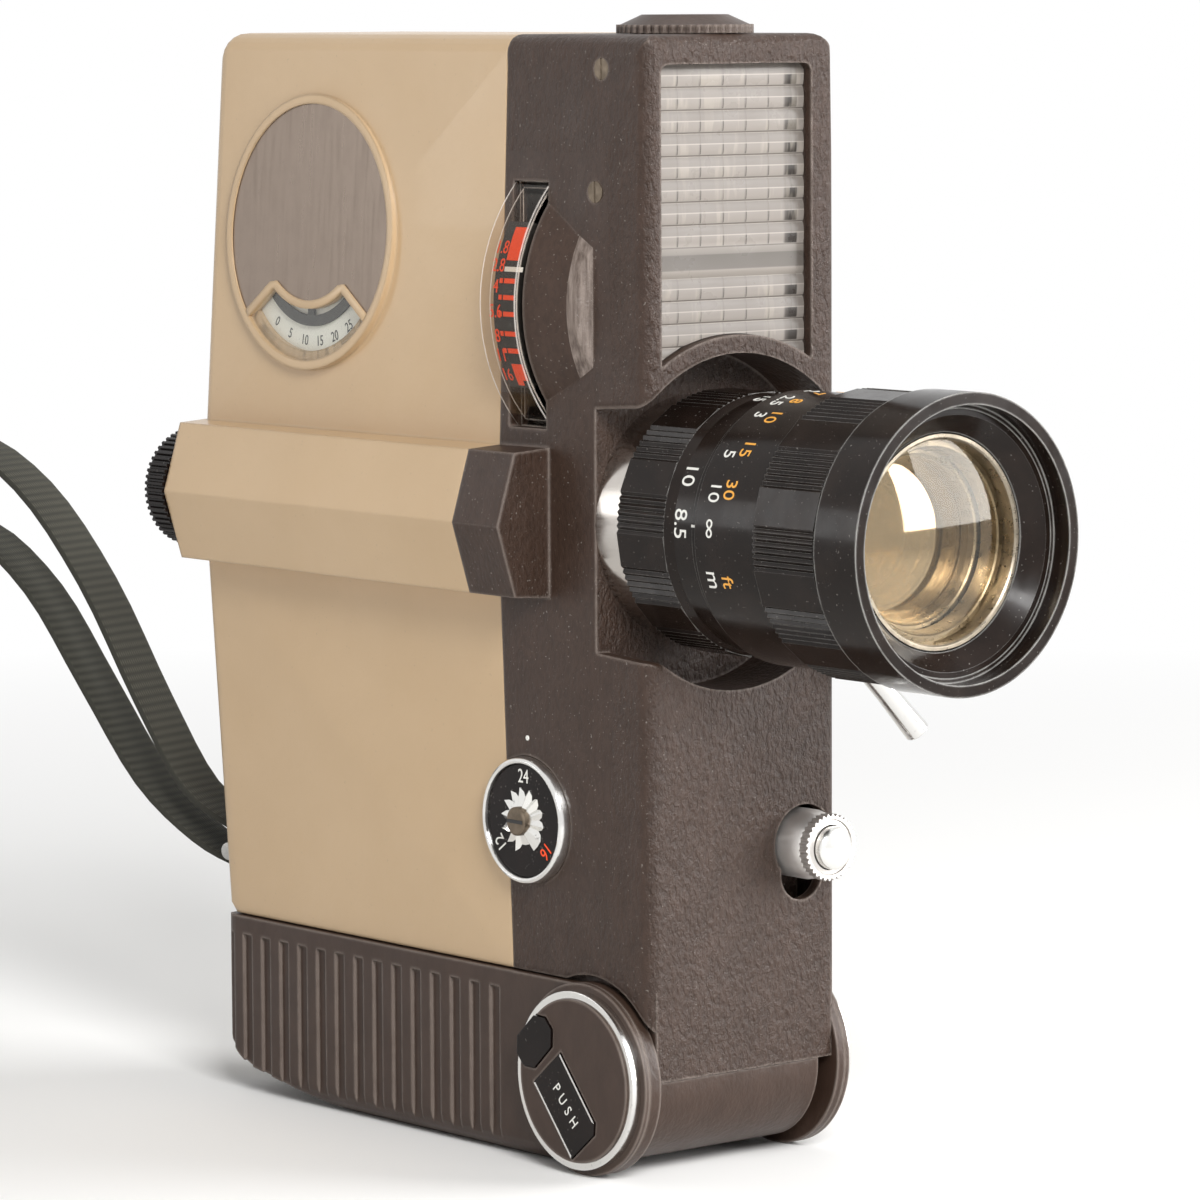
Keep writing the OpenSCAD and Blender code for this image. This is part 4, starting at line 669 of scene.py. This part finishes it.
def makePlate():
    p = plate
    r = p["fan"]
    cx, cz, cr = 0.02 * r, 0.11 * r, 0.67 * r
    a0, a1 = math.atan2(-0.52 * r, 0.4 * r), math.atan2(-0.53 * r, -0.41 * r)
    path = [(0.72 * r, -0.625 * r), (0.43 * r, -0.415 * r)]
    turns = [a0 + (a1 - a0) * i / 14 for i in range(15)]
    path += [(cx + cr * math.cos(a), cz + cr * math.sin(a)) for a in turns]
    path += [(-0.41 * r, -0.425 * r), (-0.7 * r, -0.645 * r)]
    high, low = [], []
    for i, at in enumerate(path):
        a, b = path[max(i - 1, 0)], path[min(i + 1, len(path) - 1)]
        d = Vector((b[0] - a[0], b[1] - a[1])).normalized()
        high.append((at[0] + d.y * p["edge"], at[1] - d.x * p["edge"]))
        low.append((at[0] - d.y * p["lip"], at[1] + d.x * p["lip"]))
    rise = Vector(onPlate(0, 0, p["over"])) - Vector(onPlate(0, 0, p["under"]))
    o = slab([onPlate(x, z, p["under"]) for x, z in high + low[::-1]], rise)
    roundOff(o, 0.35, 3, 40)
    smoothEdges(o, 40)
    dress(o, "counterFrame", "camera", matEnamel)
    ink = []
    for row, radius, size in p["rows"]:
        for i, t in enumerate(p[row]):
            angle = -p["sweep"] + 2 * p["sweep"] * i / (len(p[row]) - 1)
            ink.append(figures(t, size, onFan(angle, radius), squeeze=0.8, depth=0.04))
    dress(joined(ink), "counterNumbers", "camera", matDark)
    ends = [figures(t, 2.0, onFan(a, 14.6), depth=0.04) for t, a in p["ends"]]
    dress(joined(ends), "counterEnds", "camera", printed("greenPaint", (0.02, 0.16, 0.06)))


makePlate()
print("counter made")

# the speed dial: bezel, numbers, faceted star and screw
speed = {"x": -19.1, "y": -26.65, "z": 55, "points": 14, "outer": 5.35, "inner": 4.3,
         "ridge": 1.9, "valley": 1.45, "foot": 1.2, "peak": 3.1,
         "numbers": (("24", 90, "white"), ("16", -38, "orange"), ("12", 216, "white")),
         "bezel": ((0, 10.2), (1.5, 10.25), (2.1, 9.95), (2.3, 9.55), (2.15, 9.2), (1.7, 9.08), (0, 9.08)),
         "star": ((1.2, 0), (1.2, 4.2), (2.0, 4.2), (2.0, 0)),
         "hub": ((2.2, 0), (2.2, 2.35), (3.2, 2.3), (3.45, 2.0), (3.5, 0)),
         "dotAt": (-19.9, -0.3, 13.2), "dot": ((-0.3, 0), (-0.3, 0.42), (0.22, 0.42), (0.3, 0.3), (0.3, 0))}


def onSpeed(right, up, out):
    return (speed["x"] - out, speed["y"] - right, speed["z"] + up)


def aroundSpeed(angle, radius, out):
    def place(x, up, d):
        a = math.radians(angle)
        right = (radius + up) * math.cos(a) + x * math.sin(a)
        return onSpeed(right, (radius + up) * math.sin(a) - x * math.cos(a), out + d)
    return place


def makeSpeedDial():
    s = speed
    centre = (s["x"], s["y"], s["z"])
    bezel = turned(s["bezel"], centre, (-1, 0, 0))
    smoothEdges(bezel, 35)
    dress(bezel, "speedBezel", "camera", matChrome, ("speed_bezel",))
    for tint, mat, slot in (("white", matWhite, "dial_white"), ("orange", matOrange, "scale_orange")):
        ink = [figures(t, 2.3, aroundSpeed(a, 7.0, 1.64), squeeze=0.85) for t, a, c in s["numbers"] if c == tint]
        dress(joined(ink), tint + "SpeedNumbers", "speed_dial", mat)
    # each point of the star is a ridge between two slopes
    n = s["points"]
    star = turned(s["star"], centre, (-1, 0, 0), 2 * n)
    middle = Vector(onSpeed(0, 0, 0)) * mm
    edit(star, "DESELECT")
    bm = bmesh.from_edit_mesh(star.data)
    for v in [v for v in bm.verts if (v.co - middle).length > 3 * mm]:
        step = round(math.atan2(v.co.z - middle.z, v.co.y - middle.y) / (math.pi / n))
        ridge = step % 2 == 0
        out = v.co - middle
        out.x = 0
        out.normalize()
        top = middle.x - v.co.x > 1.6 * mm
        v.co = middle + out * (s["outer"] if ridge else s["inner"]) * mm
        v.co.x = middle.x - (s["foot"] if not top else s["ridge"] if ridge else s["valley"]) * mm
    for v in bm.verts:
        if (v.co - middle).length < 2.5 * mm and middle.x - v.co.x > 1.6 * mm:
            v.co.x = middle.x - s["peak"] * mm
    bmesh.update_edit_mesh(star.data)
    leave()
    dress(star, "speedStar", "speed_dial", matStar, ("speed_knob",))
    hub = turned(s["hub"], centre, (-1, 0, 0), 48)
    slot = brick(s["x"] - 3.56, s["x"] - 3.3, s["y"] - 1.9, s["y"] + 1.9, s["z"] - 0.28, s["z"] + 0.28)
    x, along, up = s["dotAt"]
    dot = turned(s["dot"], (x, s["y"] + along, s["z"] + up), (-1, 0, 0), 24)
    dress(dot, "speedIndexDot", "camera", matWhite)
    smoothEdges(hub, 35)
    dress(hub, "speedHub", "speed_dial", matScrew)
    dress(slot, "speedSlot", "speed_dial", matDark)


matStar = chromePlate("starChrome", 0.16, (0.8, 0.79, 0.76), bevel=0)
makeSpeedDial()
print("speed dial made")

# the shutter release: sleeve, toothed collar and domed button
release = {"x": 13.8, "z": 51.1, "teeth": 34, "tip": 5.35, "root": 4.98, "bore": 4.46, "back": -59.62,
           "deep": 1.7, "cap": 3.45, "rise": 1.25,
           "sleeve": ((50, 4.1), (50, 5.6), (56.6, 5.6), (59.1, 5.1), (59.35, 4.9), (59.4, 4.45), (61.1, 4.4),
                      (61.2, 3.62), (50, 3.62))}


def makeRelease():
    r = release
    c = (r["x"], 0, r["z"])
    sleeve = turned(r["sleeve"], c, (0, -1, 0))
    smoothEdges(sleeve, 35)
    dress(sleeve, "releaseSleeve", "camera", matSatin, ("release_sleeve",))
    # each tooth is four points of the outline
    rim = []
    for i in range(4 * r["teeth"]):
        far, a = r["tip"] if i % 4 in (0, 1) else r["root"], math.pi * i / (2 * r["teeth"])
        rim.append((c[0] + far * math.cos(a), r["back"], c[2] + far * math.sin(a)))
    collar = slab(rim, (0, -r["deep"], 0))
    cutRound(collar, r["bore"], c[0], -60, c[2], 6, 96)
    smoothEdges(collar, 25)
    dress(collar, "releaseCollar", "release_collar", matSatin, ("release_collar",))
    arc = [t * math.pi / 16 for t in range(8)]
    dome = [(62.2 + r["rise"] * math.sin(a), r["cap"] * math.cos(a)) for a in arc]
    cap = turned([(46, 0), (46, r["cap"]), (61.9, r["cap"])] + dome + [(63.4, 0)], c, (0, -1, 0))
    smoothEdges(cap, 40)
    dress(cap, "releaseButton", "release_button", matBright, ("release_button",))


matBright = satinAlloy("brightAlloy", (0.86, 0.85, 0.82), 0.24, 0.95)
matSatin = satinAlloy("satinSleeve", (0.72, 0.69, 0.66), 0.42, 0.9, (1, 0.2, 1))
matSatin.node_tree.nodes["Principled BSDF"].inputs["Metallic"].default_value = 0.8
makeRelease()
print("release made")

# the glass (y, radius, rise, thickness) and the stepped rings behind it (y, outer and inner radius)
lens = {"front": (-100.2, 16.4, 2.3, 1.6), "inner": (-93.4, 13.4, 2.6, 0.6), "turning": -96,
        "throat": ((84, 0), (84, 8.9), (83, 8.9), (83, 0)),
        "rings": ((-101.0, 16.4, 15.6), (-98.6, 15.3, 14.2), (-95.0, 13.9, 12.9), (-91.4, 12.4, 11.2),
                  (-87.6, 10.6, 8.8))}


def domeLens(y, radius, rise, thick, name, body, mat):
    front = [(-y + rise * (1 - (i / 16) ** 2), radius * i / 16) for i in range(17)]
    o = turned(front + [(-y - thick, radius), (-y - thick, 0)], (0, 0, lensZ), (0, -1, 0), 128)
    smoothEdges(o, 30)
    return dress(o, name, body, mat)


def makeLens():
    front = domeLens(*lens["front"], "frontGlass", "focus", matFrontGlass)
    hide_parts("front_lens")
    domeLens(*lens["inner"], "innerGlass", "camera", matInnerGlass)
    for i, (y, outer, inner) in enumerate(lens["rings"]):
        step = [(-y, outer), (-y, inner + 0.25), (-y - 0.25, inner), (-y - 3.2, inner - 0.5), (-y - 3.2, outer)]
        o = turned(step, (0, 0, lensZ), (0, -1, 0), 128)
        smoothEdges(o, 30)
        dress(o, "lensStep%d" % (i + 1), "focus" if y < lens["turning"] else "camera", matStep)
    throat = turned(lens["throat"], (0, 0, lensZ), (0, -1, 0))
    dress(throat, "lensThroat", "camera", matThroat)


def glassCoat(name, tint, blend, tone, rim=0.0):
    m = bpy.data.materials.new(name)
    m.use_nodes = True
    nt = m.node_tree
    sh = nt.nodes["Principled BSDF"]
    sh.inputs["Base Color"].default_value = (*tone, 1)
    sh.inputs["Metallic"].default_value = 1
    sh.inputs["Roughness"].default_value = 0.03
    clear = nt.nodes.new("ShaderNodeBsdfTransparent")
    clear.inputs["Color"].default_value = (*tint, 1)
    lw = nt.nodes.new("ShaderNodeLayerWeight")
    lw.inputs["Blend"].default_value = 0.5
    mix = nt.nodes.new("ShaderNodeMixShader")
    spot = nt.nodes.new("ShaderNodeTexCoord").outputs["Object"]
    kit = {"mat": m, "nt": nt, "sh": sh, "spot": spot, "normal": None}
    spots = ramp(kit, noise(kit, 700, 5, 0.7), [(0.66, 0.0), (0.76, 0.3)])
    sheen = sums(kit, "ADD", sums(kit, "MULTIPLY", sums(kit, "POWER", lw.outputs["Facing"], 4.0), 0.8), blend)
    nt.links.new(sums(kit, "MAXIMUM", sheen, spots), mix.inputs["Fac"])
    nt.links.new(clear.outputs["BSDF"], mix.inputs[1])
    nt.links.new(sh.outputs["BSDF"], mix.inputs[2])
    nt.links.new(mix.outputs["Shader"], nt.nodes["Material Output"].inputs["Surface"])
    # where rim is set, the outside edges are painted pale: a painted highlight along the edges of the clear plastic
    if rim:
        pale = nt.nodes.new("ShaderNodeBsdfPrincipled")
        pale.inputs["Base Color"].default_value = (0.82, 0.76, 0.7, 1)
        pale.inputs["Roughness"].default_value = 0.25
        both = nt.nodes.new("ShaderNodeMixShader")
        nt.links.new(sums(kit, "MULTIPLY", edgeMask(kit, rim, 0.01, 0.1), 0.8), both.inputs["Fac"])
        nt.links.new(mix.outputs["Shader"], both.inputs[1])
        nt.links.new(pale.outputs["BSDF"], both.inputs[2])
        nt.links.new(both.outputs["Shader"], nt.nodes["Material Output"].inputs["Surface"])
    roughness(kit, noise(kit, 160, 4), 0.015, 0.07)
    return m


matFrontGlass = glassCoat("frontCoating", (0.95, 0.92, 0.86), 0.04, (0.85, 0.82, 0.76))
matInnerGlass = glassCoat("innerCoating", (0.9, 0.84, 0.74), 0.4, (0.74, 0.65, 0.52))
matThin = glassCoat("thinClear", (0.97, 0.97, 0.955), 0.035, (1.0, 0.99, 0.97))
matBlock = glassCoat("scaleBlock", (0.93, 0.9, 0.87), 0.0, (0.75, 0.71, 0.67), 0.5)
matStep = warmMetal("bronzedSteps", (0.36, 0.31, 0.24), 0.3)
matThroat = warmMetal("amberThroat", (0.46, 0.39, 0.29), 0.2)
makeLens()
for name in ("counter_window", "eyepiece_lens", "rear_lens"):
    nodes[name].data.materials[0] = matThin
nodes["scale_window"].data.materials[0] = matBlock
print("lens glass made")

# edging and word on the push plate
push = {"x": -22.95, "y": -39.4, "z": 11.1, "turn": -50, "text": "PUSH", "size": 2.0,
        "half": (7.15, 4.25), "bar": 0.3, "corner": 1.4}


def onPush(right, up, out):
    a = math.radians(push["turn"])
    r, u = right * math.cos(a) - up * math.sin(a), right * math.sin(a) + up * math.cos(a)
    return (push["x"] - out, push["y"] - r, push["z"] + u)


def makePush():
    (w, h), c = push["half"], push["corner"]

    def loop(d):
        return [(-w + d, -h + d), (w - d, -h + d), (w - d, h - d - c), (w - d - c, h - d), (-w + d, h - d)]
    outer, inner = loop(0), loop(push["bar"])
    bars = []
    for i in (0, 3):  # the two long edges are bright, the ends are bare
        j = (i + 1) % 5
        bars.append(slab([onPush(*p, -0.3) for p in (outer[i], outer[j], inner[j], inner[i])], (-0.36, 0, 0)))
    dress(joined(bars), "pushEdging", "push_button", matChrome)
    word = figures(push["text"], push["size"], lambda x, up, d: onPush(x, up, d + 0.04), squeeze=0.8, spacing=1.75,
                   depth=0.05)
    dress(word, "pushWord", "push_button", matWhite)


makePush()
print("push plate made")

# the strap: one run of (back, up) points, out from the lug and back to it
strap = {"width": 10, "thick": 1.1, "turn": 17, "at": (-8.5, 61.4), "spread": 6, "crown": 0.1,
         "path": ((-2.6, 40.5), (-1.7, 42.3), (0.8, 43.2), (12, 49.5), (22, 64), (34, 84), (48, 100), (64, 108),
                  (80, 104), (92, 84), (99, 56), (105, 26), (113, 9), (123, 4.4), (132, 6.2), (137, 3.9), (133, 1.6),
                  (123, 1.2), (108, 4.4), (100, 20), (93, 48), (84, 76), (72, 91), (60, 92), (46, 82), (34, 66),
                  (22, 50), (10, 41), (0.3, 37.3), (-1.8, 38.1), (-2.5, 39.5))}


# a smooth curve through the points, t of the way from point i to the next
def curvePoint(p, i, t):
    n = len(p) - 1
    a, b, c, d = p[max(i - 1, 0)], p[i], p[min(i + 1, n)], p[min(i + 2, n)]
    return [0.5 * (2 * b[k] + (c[k] - a[k]) * t + (2 * a[k] - 5 * b[k] + 4 * c[k] - d[k]) * t * t
                   + (3 * b[k] - a[k] - 3 * c[k] + d[k]) * t ** 3) for k in (0, 1)]


def webbing():
    k = newMaterial("strapWebbing", (0.04, 0.037, 0.026), 0.85)
    uv = k["nt"].nodes.new("ShaderNodeUVMap")
    uv.uv_map = "UVMap"
    wave = []
    for direction, scale in (("X", 5.5), ("Y", 95)):
        w = k["nt"].nodes.new("ShaderNodeTexWave")
        w.bands_direction = direction
        w.inputs["Scale"].default_value = scale
        w.inputs["Distortion"].default_value = 0.6
        k["nt"].links.new(uv.outputs["UV"], w.inputs["Vector"])
        wave.append(w.outputs["Fac"])
    weave = sums(k, "MULTIPLY", wave[0], wave[1])
    colour(k, blendColour(k, weave, (0.02, 0.019, 0.013), (0.07, 0.066, 0.047)))
    bump(k, sums(k, "ADD", weave, sums(k, "MULTIPLY", noise(k, 2500, 2), 0.4)), 0.7, 0.25)
    return k["mat"]


def makeStrap():
    s = strap
    pts = [curvePoint(s["path"], i, t / 4) for i in range(len(s["path"]) - 1) for t in range(4)] + [s["path"][-1]]
    spread = s["spread"]
    dropSelection()
    bpy.ops.mesh.primitive_grid_add(x_subdivisions=spread, y_subdivisions=len(pts) - 1, size=1)
    o = bpy.context.object
    turn = math.radians(s["turn"])
    back, side = Vector((-math.sin(turn), math.cos(turn), 0)), Vector((math.cos(turn), math.sin(turn), 0))
    run = 0.0
    rows = []
    for i, p in enumerate(pts):
        if i:
            run += math.dist(p, pts[i - 1])
        rows.append(run)
    uvLayer = o.data.uv_layers.active.data
    for v in o.data.vertices:
        col, row = v.index % (spread + 1), v.index // (spread + 1)
        p = pts[row]
        a, b = pts[max(row - 1, 0)], pts[min(row + 1, len(pts) - 1)]
        d = Vector((b[0] - a[0], b[1] - a[1])).normalized()
        share = col / spread - 0.5
        crown = s["crown"] * (1 - (2 * share) ** 2)
        flat = Vector((p[0] - d.y * crown, p[1] + d.x * crown))
        spot = Vector((*s["at"], flat.y)) + back * flat.x + side * share * s["width"]
        v.co = spot * mm
    for loop in o.data.loops:
        col, row = loop.vertex_index % (spread + 1), loop.vertex_index // (spread + 1)
        uvLayer[loop.index].uv = (col / spread, rows[row] / rows[-1])
    pick(o)
    m = o.modifiers.new("thickness", "SOLIDIFY")
    m.thickness, m.offset = s["thick"] * mm, 0
    bpy.ops.object.modifier_apply(modifier="thickness")
    roundOff(o, 0.3, 2, 40)
    smoothEdges(o, 50)
    dress(o, "webStrap", "camera", webbing(), ("strap",))
    print("strap length", round(rows[-1], 1), "mm")


makeStrap()

# the floor, the room and the lamps
studio = {"floor": (0.91, 0.905, 0.89), "near": 0.22, "far": 0.7, "fill": 0.28,
          "lamps": (("keySoft", (-0.5, -1.1, 0.8), (0, 0, 0.08), 0.5, 19),
                    ("frontSoft", (0.9, -0.8, 0.45), (0, -0.03, 0.1), 0.8, 19),
                    ("sideStrip", (-1.1, 0.95, 0.35), (0, 0, 0.1), 0.4, 1.6),
                    ("topSoft", (0.1, 0.35, 1.5), (0, 0, 0.1), 1.0, 3))}


# 1 for rays from the camera, a reflection or clear plastic, 0 for the light that falls on the object
def lookedAt(kit):
    path = kit["nt"].nodes.new("ShaderNodeLightPath")
    seen = sums(kit, "MAXIMUM", path.outputs["Is Glossy Ray"], path.outputs["Is Transmission Ray"])
    return sums(kit, "MAXIMUM", path.outputs["Is Camera Ray"], seen)


def setStudio():
    dropSelection()
    bpy.ops.mesh.primitive_plane_add(size=24, location=(0, 0, 0))
    floor = bpy.context.object
    k = newMaterial("paperFloor", studio["floor"], 0.75)
    mottle(k, noise(k, 3, 4), 0.3, 0.7, studio["floor"], 0.985)
    bump(k, noise(k, 900, 2), 0.04, 0.1)
    # the paper keeps the shadow near the object and turns plain white further out
    away = k["nt"].nodes.new("ShaderNodeVectorMath")
    away.operation = "LENGTH"
    k["nt"].links.new(k["spot"], away.inputs[0])
    span = sums(k, "SUBTRACT", away.outputs["Value"], studio["near"])
    span = sums(k, "DIVIDE", span, studio["far"] - studio["near"])
    white = k["nt"].nodes.new("ShaderNodeEmission")
    both = k["nt"].nodes.new("ShaderNodeMixShader")
    k["nt"].links.new(sums(k, "MULTIPLY", ramp(k, span, [(0.0, 0.0), (1.0, 1.0)]), lookedAt(k)), both.inputs["Fac"])
    k["nt"].links.new(k["sh"].outputs["BSDF"], both.inputs[1])
    k["nt"].links.new(white.outputs["Emission"], both.inputs[2])
    k["nt"].links.new(both.outputs["Shader"], k["nt"].nodes["Material Output"].inputs["Surface"])
    floor.name = "paperFloor"
    floor.data.materials.append(k["mat"])
    world = bpy.data.worlds.new("softRoom")
    bpy.context.scene.world = world
    world.use_nodes = True
    room = {"nt": world.node_tree}
    bg = world.node_tree.nodes["Background"]
    bg.inputs["Color"].default_value = (1, 1, 1, 1)
    light = sums(room, "ADD", sums(room, "MULTIPLY", lookedAt(room), 1 - studio["fill"]), studio["fill"])
    world.node_tree.links.new(light, bg.inputs["Strength"])
    for name, place, aim, size, power in studio["lamps"]:
        dropSelection()
        bpy.ops.object.light_add(type="AREA", location=place)
        lamp = bpy.context.object
        lamp.name = name
        lamp.data.shape, lamp.data.size, lamp.data.energy = "SQUARE", size, power
        lamp.rotation_euler = (Vector(aim) - Vector(place)).to_track_quat("-Z", "Y").to_euler()


setStudio()
bpy.context.scene.view_settings.view_transform = "Standard"
print("studio set")
